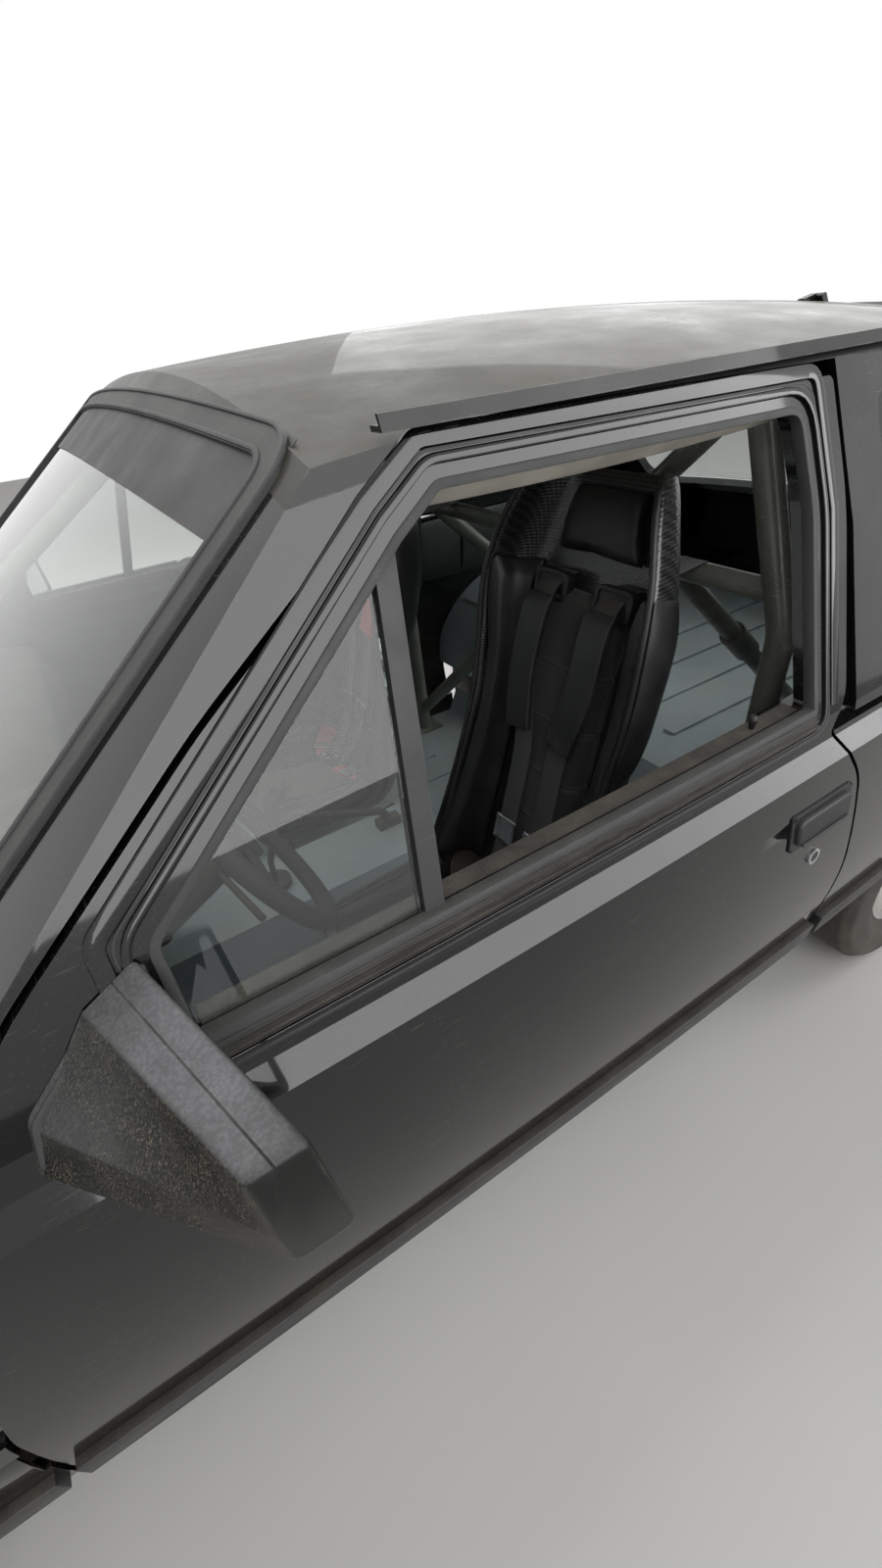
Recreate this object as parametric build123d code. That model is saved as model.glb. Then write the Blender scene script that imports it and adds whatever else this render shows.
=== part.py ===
from build123d import *
import math
import os

# A boxy three-door hatchback prepared for rallying, in millimetres.
# X points forwards, Y to the car's left, Z up; the origin is on the ground at the middle of its length.

# Overall sizes
half_length = 2115
half_width = 830
roof_height = 1392
front_axle_x = 1380
wheelbase = 2400
rear_axle_x = front_axle_x - wheelbase
track = 1380

# Wheels
tyre_radius = 290
tyre_width = 185
rim_radius = 168
rim_width = 150
arch_radius = tyre_radius + 55
kingpin_y = track / 2 - 78
strut_y = track / 2 - 162
hub_height = tyre_radius

# Body plates and gaps
plan_radius = 30000
belt_height = 872
door_depth = 75
frame_depth = 32
skin = 14
door_gap = 6
hinge_x = 812
hinge_y = half_width - 18
hinge_heights = (560, 660)
hinge_length = 26
hinge_barrel = 6
hinge_strap = [(3, -1), (-1, -64), (-34, -68), (-72, -54), (-72, -48), (-33, -62), (-7, -58), (-3, 1)]
hinge_leaf = [(4, 0), (2, -56), (-32, -84), (-46, -84), (-46, -76), (-6, -50), (-4, 0)]
joint_gap = 0.3
roof_plate = 20
glass = 5
sill_bottom = 205
floor_height = 215
floor_plate = 16

# Cage and tubes
cage_tube = 44
stay_tube = 38
cage_r = cage_tube / 2


def over_belt(height):
    """Height of a point of the upper body, spread with the roof's height over the belt."""
    return 880 + (height - 880) * (roof_height - 972) / 420


# Flank section at the middle of the car: height, half width
flank = [
    (150, half_width - 134),
    (460, half_width - 15),
    (620, half_width),
    (845, half_width - 18),
    (belt_height, half_width - 37),
    (905, half_width - 45),
    (over_belt(1420), half_width - 249),
]

# Centreline points of the crowned panels: x, height
roof_line = [(210, roof_height - 24), (-350, roof_height), (-1060, roof_height - 32)]
bonnet_line = [(760, 912), (1400, 868), (2040, 778)]
deck_line = [(-1590, 876), (-1800, 852), (-2015, 806)]
screen_line = [(210, roof_height - 28), (800, 920)]
hatch_line = [(-1060, roof_height - 36), (-1600, 874)]
roof_across = 3000 * ((half_width - 218) / 612)**2
bonnet_across = 7000 * ((half_width - 175) / 655)**2
screen_across = 5000
hatch_across = 6000
roof_rear = -1046
cowl_rear = 796
bonnet_rear = 806
bonnet_front = 2008
nose_x = 2064
tail_x = -2050

# Panel seams
bonnet_half_rear = half_width - 130
bonnet_half_front = half_width - 175
tailgate_half_top = half_width - 245
tailgate_half_low = half_width - 185
floor_half = half_width - 180
house_inner = track / 2 - tyre_width / 2 - 29.5
seam = 5

# Door outline seen from the side: x, height, corner radius
door_outline = [
    (755, 300, 60),
    (750, 620, 200),
    (706, 880, 40),
    (592, over_belt(996), 300),
    (389, over_belt(1142), 800),
    (135, over_belt(1300), 18),
    (-478, over_belt(1292), 12),
    (-478, over_belt(1150), 400),
    (-427, over_belt(922), 60),
    (-388, 879, 6),
    (-442, 800, 100),
    (-470, 590, 200),
    (-392, 400, 150),
    (-270, 300, 90),
]

# Door window seen from the side: x, height, corner radius
window_outline = [
    (478, 915, 10),
    (478, over_belt(1006), 20),
    (170, over_belt(1236), 60),
    (118, over_belt(1268), 20),
    (-404, over_belt(1260), 24),
    (-404, over_belt(1150), 300),
    (-352, 915, 14),
]

# Smaller pieces
hatch_axis = (-1062, roof_height - 31)
roof_strap = [(-2, -4), (8, -14), (40, -14), (40, -1), (0, 6)]
hatch_strap = [(1, -3), (1, -14), (-24, -39), (-32, -29), (-5, 5)]
bonnet_axis = (800.5, 904)
bonnet_barrel = 3
nose_front = [(nose_x - 26, 782), (nose_x - 4, 690), (nose_x, 560), (nose_x, 440), (nose_x - 22, 262)]
nose_back = [
    (nose_x - 50, 782), (nose_x - 32, 690), (nose_x - 28, 560), (nose_x - 28, 440), (nose_x - 48, 262)
]
lamp_low, lamp_high = 596, 724
lamp_inner, lamp_outer = half_width - 420, half_width - 190
tailgate_rows = [
    (-tailgate_half_top, 4, 20), (tailgate_half_top, 4, 20), (tailgate_half_low, 900, 5),
    (-tailgate_half_low, 900, 5),
]
quarter_window = [
    (-576, 925, 14), (-566, over_belt(1262), 20), (-1020, over_belt(1240), 30), (-1300, 925, 40)
]
tail_low, tail_high = 578, 702
tail_inner, tail_outer = half_width - 410, half_width - 142
handle_x, handle_z, lock_z, lock_radius = -353, 769, 700, 12
divider_width = 22
divider_top = over_belt(1300)
divider_rows = [
    (161, divider_top), (161 + divider_width, divider_top), (236 + divider_width, 900), (236, 900)
]
vent_rows = [
    (162 + divider_width, divider_top), (237 + divider_width, 900), (700, 900), (700, divider_top)
]
drop_rows = [(160, divider_top), (235, 900), (-700, 900), (-700, divider_top)]
mirror_foot = [(485, 1004, 6), (545, 976, 24), (604, 930, 18), (616, 888, 6), (485, 886, 6)]
spokes = 8
eye_low = hub_height - 76
eye_high = hub_height + 76
hub_bore = 30 - joint_gap
rib_pitch = 115
rib_start = 200
seat_y = rib_start + 1.5 * rib_pitch
seat_half = 212
seat_shell = 12
rib_top = floor_height + floor_plate + 7
# Side views of the bucket seat: x, height, corner radius
seat_side = [
    (228, 316, 10), (236, 404, 24), (60, 440, 60), (-70, 470, 60), (-150, 700, 80), (-196, 880, 60),
    (-236, 1020, 70), (-330, 1130, 60), (-372, 1192, 10), (-412, 1194, 10), (-200, 296, 60), (
        -120, 280, 60
    ),
]
seat_hollow = [(300, 344, 1), (-110, 300, 40), (-182, 326, 40), (-420, 1280, 1), (300, 1280, 1)]
seat_front = [
    (-212, 200, 1), (-212, 1000, 60), (-180, 1110, 60), (-118, 1196, 50),
    (118, 1196, 50), (180, 1110, 60), (212, 1000, 60), (212, 200, 1),
]
belt_slot_z = 1007
belt_slot_y = 74
hoop_x = -500
floor_top = floor_height + floor_plate
hoop_top = over_belt(1324) - cage_r
hoop_rows = [
    (half_width - 208 - cage_r, 0),
    (half_width - 194 - cage_r, 700),
    (half_width - 186 - cage_r, 940),
    (half_width - 303 - cage_r, hoop_top),
]
hoop_rows = hoop_rows + [(-y, z) for y, z in hoop_rows[::-1]]
foot_plate = 6
harness_bar_z = 1000
column_top = (336, 800)
column_low = (779, 560)

parts = {}


def flank_y(height):
    """Half width of the flank at a height, at the middle of the car."""
    for (z0, y0), (z1, y1) in zip(flank, flank[1:]):
        if z0 <= height <= z1:
            return y0 + (y1 - y0) * (height - z0) / (z1 - z0)
    return flank[-1][1]


def face_of(rows):
    """Flat face from rows of two coordinates and a corner radius."""
    points = [row[:2] for row in rows]
    if len(rows[0]) == 2:
        return make_face(Polyline(*points, close=True))
    radii = [row[2] for row in rows]
    return make_face(FilletPolyline(*points, radius=radii, close=True))


def from_side(face, y_low, y_high):
    """Face drawn in x and z, drawn out along Y."""
    plane = Plane(origin=(0, y_high, 0), x_dir=(1, 0, 0), z_dir=(0, -1, 0))
    return extrude(plane * face, y_high - y_low)


def from_front(face, x_low, x_high):
    """Face drawn in y and z, drawn out along X."""
    plane = Plane(origin=(x_low, 0, 0), x_dir=(0, 1, 0), z_dir=(1, 0, 0))
    return extrude(plane * face, x_high - x_low)


def from_above(face, z_low, z_high):
    """Face drawn in x and y, drawn out along Z."""
    return extrude(Plane.XY.offset(z_low) * face, z_high - z_low)


def block(x_low, x_high, y_low, y_high, z_low, z_high):
    """Plain block between two corners, used to bound and cut other shapes."""
    size = (x_high - x_low, y_high - y_low, z_high - z_low)
    middle = ((x_high + x_low) / 2, (y_high + y_low) / 2, (z_high + z_low) / 2)
    return Pos(*middle) * Box(*size)


def both(shape):
    """A left-hand shape and its mirror image."""
    return [shape, mirror(shape, about=Plane.XZ)]


def flank_line(shift):
    """Section curve of the flank from the sill to above the roof, moved inwards by shift."""
    p = [(y - shift, z) for z, y in flank]
    return p, [Line(p[0], p[1]), ThreePointArc(p[1], p[2], p[3])]


def about_far_axis(face):
    """Section of the left flank, turned about a far upright axis into the barrel of the body."""
    axis = Axis((0, half_width - plan_radius, 0), (0, 0, 1))
    sweep_angle = math.degrees(math.asin((half_length + 60) / plan_radius))
    return revolve((Plane.YZ * face).rotate(axis, -sweep_angle), axis, 2 * sweep_angle)


def flank_band(outer, low_inner, high_inner):
    """Left flank as a wall between two shifts, with its own inner shift above the belt."""
    a, outer_low = flank_line(outer)
    b, inner_low = flank_line(low_inner)
    c = [(y - high_inner, z) for z, y in flank]
    edges = outer_low + [Polyline(*a[3:])] + inner_low + [Line(b[3], b[4])]
    edges += [Line(a[0], b[0]), Line(a[6], c[6]), Polyline(*c[4:])]
    if abs(low_inner - high_inner) > 0.01:
        edges.append(Line(b[4], c[4]))
    return about_far_axis(make_face(edges))


def flank_volume(inset):
    """Everything inboard of the left flank, down to the middle of the car and past it."""
    a, low = flank_line(inset)
    edges = low + [Polyline(*a[3:])]
    edges += [Polyline(a[6], (-150, a[6][1]), (-150, a[0][1]), a[0])]
    return about_far_axis(make_face(edges)) & block(-3000, 3000, 0, 1500, 100, 2200)


def arc_centre(a, b, c):
    """Centre and radius of the circle through three points."""
    ax, az = a
    bx, bz = b
    cx, cz = c
    d = 2 * (ax * (bz - cz) + bx * (cz - az) + cx * (az - bz))
    ux = (ax**2 + az**2) * (bz - cz) + (bx**2 + bz**2) * (cz - az) + (cx**2 + cz**2) * (az - bz)
    uz = (ax**2 + az**2) * (cx - bx) + (bx**2 + bz**2) * (ax - cx) + (cx**2 + cz**2) * (bx - ax)
    x, z = ux / d, uz / d
    return x, z, math.hypot(ax - x, az - z)


def crown_volume(line, lateral_radius, inset, depth=500, half_span=1100):
    """Volume under a panel crowned along and across the car."""
    x, z, radius = arc_centre(*line)
    top = z + radius - inset
    drop = lateral_radius - math.sqrt(lateral_radius**2 - half_span**2)
    arc = ThreePointArc((-half_span, top - drop), (0, top), (half_span, top - drop))
    low = z + radius - depth
    rest = Polyline(
        (half_span, top - drop), (half_span, low), (-half_span, low), (-half_span, top - drop)
    )
    turn_axis = Axis((x, 0, z), (0, 1, 0))
    reach = max(abs(line[0][0] - x), abs(line[2][0] - x)) + 150
    turn = math.degrees(math.asin(reach / radius))
    section = Plane(origin=(x, 0, 0), x_dir=(0, 1, 0), z_dir=(1, 0, 0)) * make_face([arc, rest])
    return revolve(section.rotate(turn_axis, -turn), turn_axis, 2 * turn)


def slope_volume(line, lateral_radius, inset):
    """Volume behind a sloping pane that is curved only across the car."""
    (x0, z0), (x1, z1) = line
    length = math.hypot(x1 - x0, z1 - z0)
    down = ((x1 - x0) / length, (z1 - z0) / length)
    normal = (-down[1], down[0]) if x1 > x0 else (down[1], -down[0])
    middle = ((x0 + x1) / 2 - normal[0] * lateral_radius, (z0 + z1) / 2 - normal[1] * lateral_radius)
    plane = Plane(origin=(middle[0], 0, middle[1]), x_dir=(0, 1, 0), z_dir=(down[0], 0, down[1]))
    return plane * Cylinder(lateral_radius - inset, 3200)


def slope_prism(line, rows):
    """Outline drawn on a sloping pane, drawn out both ways through it. Rows: y, distance down, radius."""
    (x0, z0), (x1, z1) = line
    length = math.hypot(x1 - x0, z1 - z0)
    down = ((x1 - x0) / length, 0, (z1 - z0) / length)
    across = (0, 1, 0)
    plane = Plane(origin=(x0, 0, z0), x_dir=across, z_dir=Vector(across).cross(Vector(*down)))
    return extrude(plane * face_of(rows), 160, both=True)


def tube(points, diameter, bend):
    """Round bar along straight runs joined by tangent bends."""
    path = Polyline(*points) if len(points) == 2 else FilletPolyline(*points, radius=bend)
    start = path @ 0
    section = Plane(origin=start, z_dir=path % 0) * Circle(diameter / 2)
    return sweep(section, path=path)


def save(name, *shapes):
    """Keeps a named piece as its solids, each on its own."""
    solids = [solid for shape in shapes for solid in shape.solids()]
    parts[name] = Compound(children=solids) if len(solids) > 1 else solids[0]


# The whole barrel, and the volumes that its panels are cut from
hull_left = flank_volume(0)
hull = hull_left + mirror(hull_left, about=Plane.XZ)
roof_top = crown_volume(roof_line, roof_across, 0)
bonnet_top = crown_volume(bonnet_line, bonnet_across, 0)
deck_top = crown_volume(deck_line, bonnet_across, 0)
screen = slope_volume(screen_line, screen_across, 0)
hatch = slope_volume(hatch_line, hatch_across, 0)

# Openings in the sloping panes: y, distance down the pane, corner radius
screen_end = math.dist(*screen_line) - 8.4
screen_top_half = half_width - 240
screen_low_half = half_width - 158
screen_hole = [
    (-screen_top_half, 26, 70),
    (screen_top_half, 26, 70),
    (screen_low_half, screen_end, 60),
    (-screen_low_half, screen_end, 60),
]
hatch_end = math.dist(*hatch_line) - 33.8
hatch_top_half = half_width - 300
hatch_low_half = half_width - 245
hatch_hole = [
    (-hatch_top_half, 58, 60),
    (hatch_top_half, 58, 60),
    (hatch_low_half, hatch_end, 70),
    (-hatch_low_half, hatch_end, 70),
]

# Rounded corners of the body seen from above: x, y, corner radius
nose_corner = 90
plan_outline = face_of([
    (nose_x, -half_width + 75, nose_corner),
    (nose_x, half_width - 75, nose_corner),
    (1700, half_width + 10, 900),
    (-1700, half_width + 10, 900),
    (tail_x, half_width - 65, nose_corner),
    (tail_x, -half_width + 65, nose_corner),
    (-1700, -half_width - 10, 900),
    (1700, -half_width - 10, 900),
])
plan_body = from_above(plan_outline, 100, 2200)

# The space that a door and its swing need in the body around it
door_face = face_of(door_outline)
window_face = face_of(window_outline)
door_space = flank_band(-60, door_depth + 8, frame_depth + 8)
ledge_space = flank_band(-60, door_depth + 8, door_depth + 8)
ledge_space = ledge_space & block(-1000, 1000, 0, half_width + 120, belt_height - 20, belt_height + 14)
door_space = (door_space + ledge_space) & from_side(
    offset(door_face, door_gap / 2), 300, half_width + 120
)

# Round spaces over the wheels
front_arch = Pos(front_axle_x, 0, tyre_radius + 8) * Rot(90, 0, 0) * Cylinder(arch_radius, 2400)
rear_arch = Pos(rear_axle_x, 0, tyre_radius + 8) * Rot(90, 0, 0) * Cylinder(arch_radius, 2400)


def build_roof():
    """Roof skin with its front header, cant rails and gutters."""
    panel = roof_top - crown_volume(roof_line, roof_across, roof_plate)
    panel = panel & hull & screen & hatch & block(
        -1100, 400, 130 - half_width, half_width - 130, roof_height - 192, roof_height + 100
    )
    header_half = screen_top_half - 30
    header = slope_volume(screen_line, screen_across, 14) - slope_volume(screen_line, screen_across, 44)
    header = header & slope_prism(
        screen_line, [(-header_half, -30), (header_half, -30), (header_half, 60), (-header_half, 60)]
    )
    whole = panel + (header & roof_top)
    for rail in both(
        block(roof_rear, 150, half_width - 282, half_width - 252, roof_height - 108, roof_height)
    ):
        whole = whole + (rail & crown_volume(roof_line, roof_across, roof_plate / 2))
    low = roof_height - 76
    gutter = flank_band(-16, 4, 4) & block(roof_rear, 165, 400, 1500, low, low + 5)
    gutter = gutter + (flank_band(-16, -12, -12) & block(roof_rear, 165, 400, 1500, low, low + 14))
    for rail in both(gutter):
        whole = whole + rail
    for space in both(door_space):
        whole = whole - space
    whole = largest(
        whole - pane_prism(screen_line, screen_hole, 0, 14)
        - pane_prism(hatch_line, tailgate_rows, seam / 2)
    )
    for y in (-215, 200):
        whole = whole + hinge_lug(y, y + 15 - joint_gap / 2, roof_strap)
    return whole


def hinge_lug(y_low, y_high, rows):
    """Barrel on the tailgate's axis with the strap that carries it."""
    x, z = hatch_axis
    barrel = Pos(x, (y_low + y_high) / 2, z) * Rot(90, 0, 0) * Cylinder(6, y_high - y_low)
    return barrel + from_side(face_of([(x + a, z + b) for a, b in rows]), y_low, y_high)


def build_pillars(roof):
    """Windscreen pillars between the screen opening and the doors, left one first."""
    wall = (screen - slope_volume(screen_line, screen_across, 46)) & hull_left
    wall = wall & block(40, 780, half_width - 270, half_width + 70, 860, roof_height + 8)
    wall = wall - bonnet_top - slope_prism(screen_line, screen_hole) - roof - door_space
    post = flank_volume(skin + 20) & crown_volume(bonnet_line, bonnet_across, skin + 2, 700)
    post = post & block(hinge_x - 46, hinge_x - 32, hinge_y - 127, hinge_y - 74, 293, 850)
    leaf = face_of([(hinge_x + x, hinge_y + y) for x, y in hinge_leaf])
    for z in hinge_heights:
        pin = Cylinder(hinge_barrel, hinge_length - joint_gap / 2)
        post = post + from_above(leaf, z - hinge_length, z - joint_gap / 2)
        post = post + Pos(hinge_x, hinge_y, z - hinge_length / 2 - joint_gap / 4) * pin
    return [largest(wall), largest(post)]


def largest(shape):
    """The largest solid of a cut shape."""
    return max(shape.solids(), key=lambda solid: solid.volume)


def grown(rows, amount):
    """Outline rows moved outwards or inwards."""
    return offset(face_of(rows), amount)


def pane_prism(line, rows, amount, depth=160):
    """Prism through a sloping pane on an outline moved by an amount, reaching inwards to a depth."""
    (x0, z0), (x1, z1) = line
    length = math.hypot(x1 - x0, z1 - z0)
    down = Vector((x1 - x0) / length, 0, (z1 - z0) / length)
    plane = Plane(origin=(x0, 0, z0), x_dir=(0, 1, 0), z_dir=Vector(0, 1, 0).cross(down))
    out = extrude(plane * grown(rows, amount), 160)
    return out + extrude(plane * grown(rows, amount), -depth)


def build_screen():
    """Bonded pane with its rubber seal."""
    pane = slope_volume(screen_line, screen_across, 3) - slope_volume(
        screen_line, screen_across, 3 + glass
    )
    pane = pane & pane_prism(screen_line, screen_hole, -20)
    seal = slope_volume(screen_line, screen_across, -4) - slope_volume(screen_line, screen_across, 14)
    seal = seal & pane_prism(screen_line, screen_hole, -joint_gap)
    seal = seal - pane_prism(screen_line, screen_hole, -36) - pane
    return pane, seal


def bonnet_edge(x):
    """Half width of the bonnet at a distance along the car."""
    share = (x - bonnet_rear) / (bonnet_front - bonnet_rear)
    return bonnet_half_rear + share * (bonnet_half_front - bonnet_half_rear)


def build_fender():
    """Left front wing: flank wall, top edge and the flange beside the bonnet."""
    outer = hull_left & bonnet_top & plan_body & block(690, 2100, 0, half_width + 70, 262, 950)
    along = Vector(1280, -66, -133).normalized()
    across = Vector(0, 0.82, 0.57)
    outward = (across - along * across.dot(along)).normalized()
    cut = Plane(origin=(760, half_width - 15, 845), x_dir=along, z_dir=outward)
    outer = outer - cut * Pos(0, 0, 100) * Box(4000, 600, 200)
    inner = flank_volume(skin) & crown_volume(bonnet_line, bonnet_across, skin)
    inner = inner & from_above(offset(plan_outline, -skin), 100, 1000)
    nose = [(x - joint_gap, z) for x, z in nose_back] + [
        (2300, 100), (2300, 1000), (nose_x - 50 - joint_gap, 1000)
    ]
    wall = outer - (inner & block(600, 2200, -10, half_width + 70, 100, 1000)) - from_side(
        face_of(nose), -1500, 1500
    )
    edge = face_of(
        [(680, bonnet_edge(680) + seam), (2100, bonnet_edge(2100) + seam), (2100, 1500), (680, 1500)]
    )
    wall = wall & from_above(edge, 200, 1000)
    wall = wall - front_arch - door_space - block(600, 1010, 500, 1500, 200, 293)
    for z in hinge_heights:
        wall = wall - block(hinge_x - 90, hinge_x + 14, 400, half_width - 6, z - 34, z + 34)
    return largest(wall)


def bonnet_lug(y_low, y_high, reach):
    """Small barrel in the seam behind the bonnet with a flat strap to one side of it."""
    x, z = bonnet_axis
    barrel = Pos(x, (y_low + y_high) / 2, z) * Rot(90, 0, 0) * Cylinder(bonnet_barrel, y_high - y_low)
    return barrel + block(min(x, x + reach), max(x, x + reach), y_low, y_high, z - 3, z)


def build_bonnet():
    """Lifting panel with its turned-down edges."""
    plan = face_of([
        (bonnet_rear, -bonnet_half_rear, 20),
        (bonnet_rear, bonnet_half_rear, 20),
        (bonnet_front, bonnet_half_front, 30),
        (bonnet_front, -bonnet_half_front, 30),
    ])
    panel = (bonnet_top - crown_volume(bonnet_line, bonnet_across, 10)) & from_above(
        offset(plan, -seam / 2), 600, 1000
    )
    rim = (bonnet_top - crown_volume(bonnet_line, bonnet_across, 22)) & from_above(
        offset(plan, -seam / 2), 600, 1000
    )
    rim = rim - from_above(offset(plan, -40), 600, 1000)
    lid = panel + rim
    for y in (-212, 200):
        lid = lid + bonnet_lug(y, y + 12, 14)
    return largest(lid)


def build_front_panel():
    """Nose panel with openings for the grille, lamps and lower intake."""
    strip = face_of(nose_front + nose_back[::-1])
    slab = from_side(strip, -1500, 1500) & hull & plan_body & bonnet_top & block(
        2014, 2100, -1500, 1500, 200, 900
    )
    gap = joint_gap
    slab = slab - block(
        1990, 2100, -lamp_outer - gap, lamp_outer + gap, lamp_low - gap, lamp_high + gap
    )
    slab = slab - block(1990, 2100, -420, 420, 306, 380)
    slam = crown_volume(bonnet_line, bonnet_across, 28) - crown_volume(bonnet_line, bonnet_across, 32)
    slam = slam & block(1962, 2027, -550, 550, 650, 800)
    rest = crown_volume(bonnet_line, bonnet_across, 22 + joint_gap) - crown_volume(
        bonnet_line, bonnet_across, 30
    )
    buffers = rest & (
        Pos(1985, 450, 740) * Cylinder(15, 160) + Pos(1985, -450, 740) * Cylinder(15, 160)
    )
    return largest(slab + slam + buffers)


def build_grille():
    """Slatted grille with a frame round slats and two uprights."""
    frame = block(2030, 2052, -lamp_inner + joint_gap, lamp_inner - joint_gap, lamp_low, lamp_high)
    frame = frame - block(2020, 2060, -lamp_inner + 16, lamp_inner - 16, lamp_low + 6, lamp_high - 6)
    for i in range(6):
        z = lamp_low + 6 + (i + 1) * (lamp_high - lamp_low - 12) / 7
        frame = frame + block(2034, 2050, -lamp_inner + 10, lamp_inner - 10, z - 3, z + 3)
    for y in (-130, 130):
        frame = frame + block(2032, 2044, y - 4, y + 4, lamp_low, lamp_high)
    return frame


def build_headlamp():
    """Rectangular lamp: bowl, bezel and bulged lens in one closed solid."""
    body = block(1960, 2046, lamp_inner, lamp_outer, lamp_low, lamp_high)
    return fillet(body.edges().filter_by(Axis.X), 14)


def build_inner_wing():
    """Engine bay side with strut tower and wheel house over the front wheel."""
    x = front_axle_x
    wall = block(cowl_rear, 1950, strut_y - 100, strut_y - 88, 420, 860)
    tower = Pos(x, strut_y, 705) * Cylinder(82, 180) + block(
        x - 82, x + 82, strut_y - 92, strut_y, 615, 795
    )
    house = Pos(front_axle_x, 600, tyre_radius + 8) * Rot(90, 0, 0) * (
        Cylinder(arch_radius + 12, 330) - Cylinder(arch_radius, 340)
    )
    house = house & block(
        x - arch_radius - 35, x + arch_radius + 75, strut_y - 100, half_width - 50, 380, 900
    )
    whole = (wall + tower + house) & flank_volume(skin + 2) & crown_volume(
        bonnet_line, bonnet_across, 34
    )
    return whole - Pos(x, strut_y, 690) * Cylinder(66, 150) - Pos(x, strut_y, 780) * Cylinder(22, 60)


def build_bulkhead():
    """Cowl panel, firewall and its turned foot."""
    cowl = (bonnet_top - crown_volume(bonnet_line, bonnet_across, 18)) & block(
        716, cowl_rear, 146 - half_width, half_width - 146, 800, 1000
    )
    wall = block(780, cowl_rear, 10 - floor_half, floor_half - 10, 400, 870)
    for y_low, y_high in ((joint_gap - 200, -188), (188, 200 - joint_gap)):
        cowl = cowl + bonnet_lug(y_low, y_high, -14)
    return cowl + (wall & crown_volume(bonnet_line, bonnet_across, 10))


def build_floor():
    """Front floor with toe board, tunnel and pressed ribs."""
    p = floor_plate
    rows = [
        (806, 420), (716, floor_height + p), (-640, floor_height + p), (-716, 400), (-760, 400),
        (-760, 400 - p), (-728, 400 - p), (-652, floor_height), (724, floor_height), (820, 408),
    ]
    pan = from_side(face_of(rows), -floor_half, floor_half)
    tunnel = from_front(face_of([(-125, 200), (-92, 372), (92, 372), (125, 200)]), -760, 840)
    bore = from_front(face_of([(-111, 190), (-80, 358), (80, 358), (111, 190)]), -900, 900)
    pan = pan + tunnel - bore
    pan = pan & block(-760, 822, -1000, 1000, floor_height, 500) - rear_arch_left - mirror(
        rear_arch_left, about=Plane.XZ
    )
    for side in (-1, 1):
        for i in range(4):
            y = side * (200 + i * 115)
            pan = pan + block(-430, 560, y - 16, y + 16, floor_height + p - 2, floor_height + p + 7)
    return pan


def build_rear_floor():
    """Raised rear floor with pressed ribs and a wheel house on each side."""
    plate = block(-2012, -760, 12 - house_inner, house_inner - 12, 384, 400)
    for i in range(5):
        y = -300 + i * 150
        plate = plate + block(-1900, -860, y - 18, y + 18, 398, 408)
    for side in both(build_wheel_house()):
        plate = plate + side
    for side in both(block(-2012, rear_axle_x - 300, house_inner - 18, half_width - 70, 384, 400)):
        plate = plate + side
    inside = flank_volume(36)
    plate = plate & (inside + mirror(inside, about=Plane.XZ))
    return plate - rear_arch_left - mirror(rear_arch_left, about=Plane.XZ)


rear_arch_left = rear_arch & block(-3000, 0, house_inner, 1500, 0, 1000)


def build_wheel_house():
    """Pressed half drum over a rear wheel with its flat inner side."""
    drum = Pos(rear_axle_x, 0, tyre_radius + 8) * Rot(90, 0, 0) * Cylinder(arch_radius + 14, 3000)
    drum = drum & block(
        rear_axle_x - 480, rear_axle_x + 420, house_inner - 14, half_width - 55, 384, 800
    )
    ribs = []
    for angle in (55, 90, 125):
        rib = Pos(rear_axle_x, house_inner + 92, tyre_radius + 8) * Rot(0, -angle, 0) * Pos(
            arch_radius + 12, 0, 0
        ) * Box(16, 170, 40)
        ribs.append(rib)
    for rib in ribs:
        drum = drum + rib
    return drum


def build_sill():
    """Box section under a door between the wheel arches."""
    body = hull_left & block(-655, 1006, floor_half, 1500, sill_bottom, 293 - joint_gap)
    return body - front_arch - rear_arch


def build_quarter(roof):
    """Left rear side: door post, quarter panel, window surround and rear pillar."""
    lower = face_of([
        (-2012, 330), (-1400, 300), (-1340, 262), (-900, 262), (-660, 205), (-660, 293),
        (-300, 293), (-300, 880),
        (-2012, 880),
    ])
    wall = flank_band(0, 34, 34) & from_side(lower, 500, 1500) & plan_body
    post = flank_band(20, door_depth + 21, door_depth + 21) & block(-566, -360, 500, 1500, 293, 880)
    wall = wall + post
    shelf = (deck_top - crown_volume(deck_line, bonnet_across, skin)) & hull_left & plan_body
    shelf = shelf & block(-2012, -1596, tailgate_half_low + seam, 1500, 700, 900)
    high = (wall & block(-2100, -1596, 0, 1500, 200, 900) & deck_top) + (
        wall & block(-1596, 0, 0, 1500, 200, 900)
    )
    upper = face_of([
        (-440, 874), (-484, over_belt(1120)), (-484, roof_height - 32), (
            -1040, roof_height - 22
        ), (-1660, 850), (-1500, 850),
    ])
    pane = flank_band(0, 34, 30) & from_side(upper, 400, 1500) & hatch & block(
        -1700, 0, 0, 1500, 870, roof_height + 8
    )
    back = (hatch - slope_volume(hatch_line, hatch_across, 28)) & hull_left
    back = back & block(-1640, -1050, 300, 1500, 866, roof_height + 8)
    above = ((pane + back) & roof_top) - pane_prism(hatch_line, tailgate_rows, seam)
    whole = high + shelf + above
    whole = whole - rear_arch - door_space - roof - from_side(face_of(quarter_window), 400, 1500)
    return largest(whole)


def build_quarter_window():
    """Blank panel in the quarter window opening."""
    return flank_band(5, 5 + 2 * glass, 5 + 2 * glass) & from_side(
        offset(face_of(quarter_window), -joint_gap), 400, 1500
    )


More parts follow.
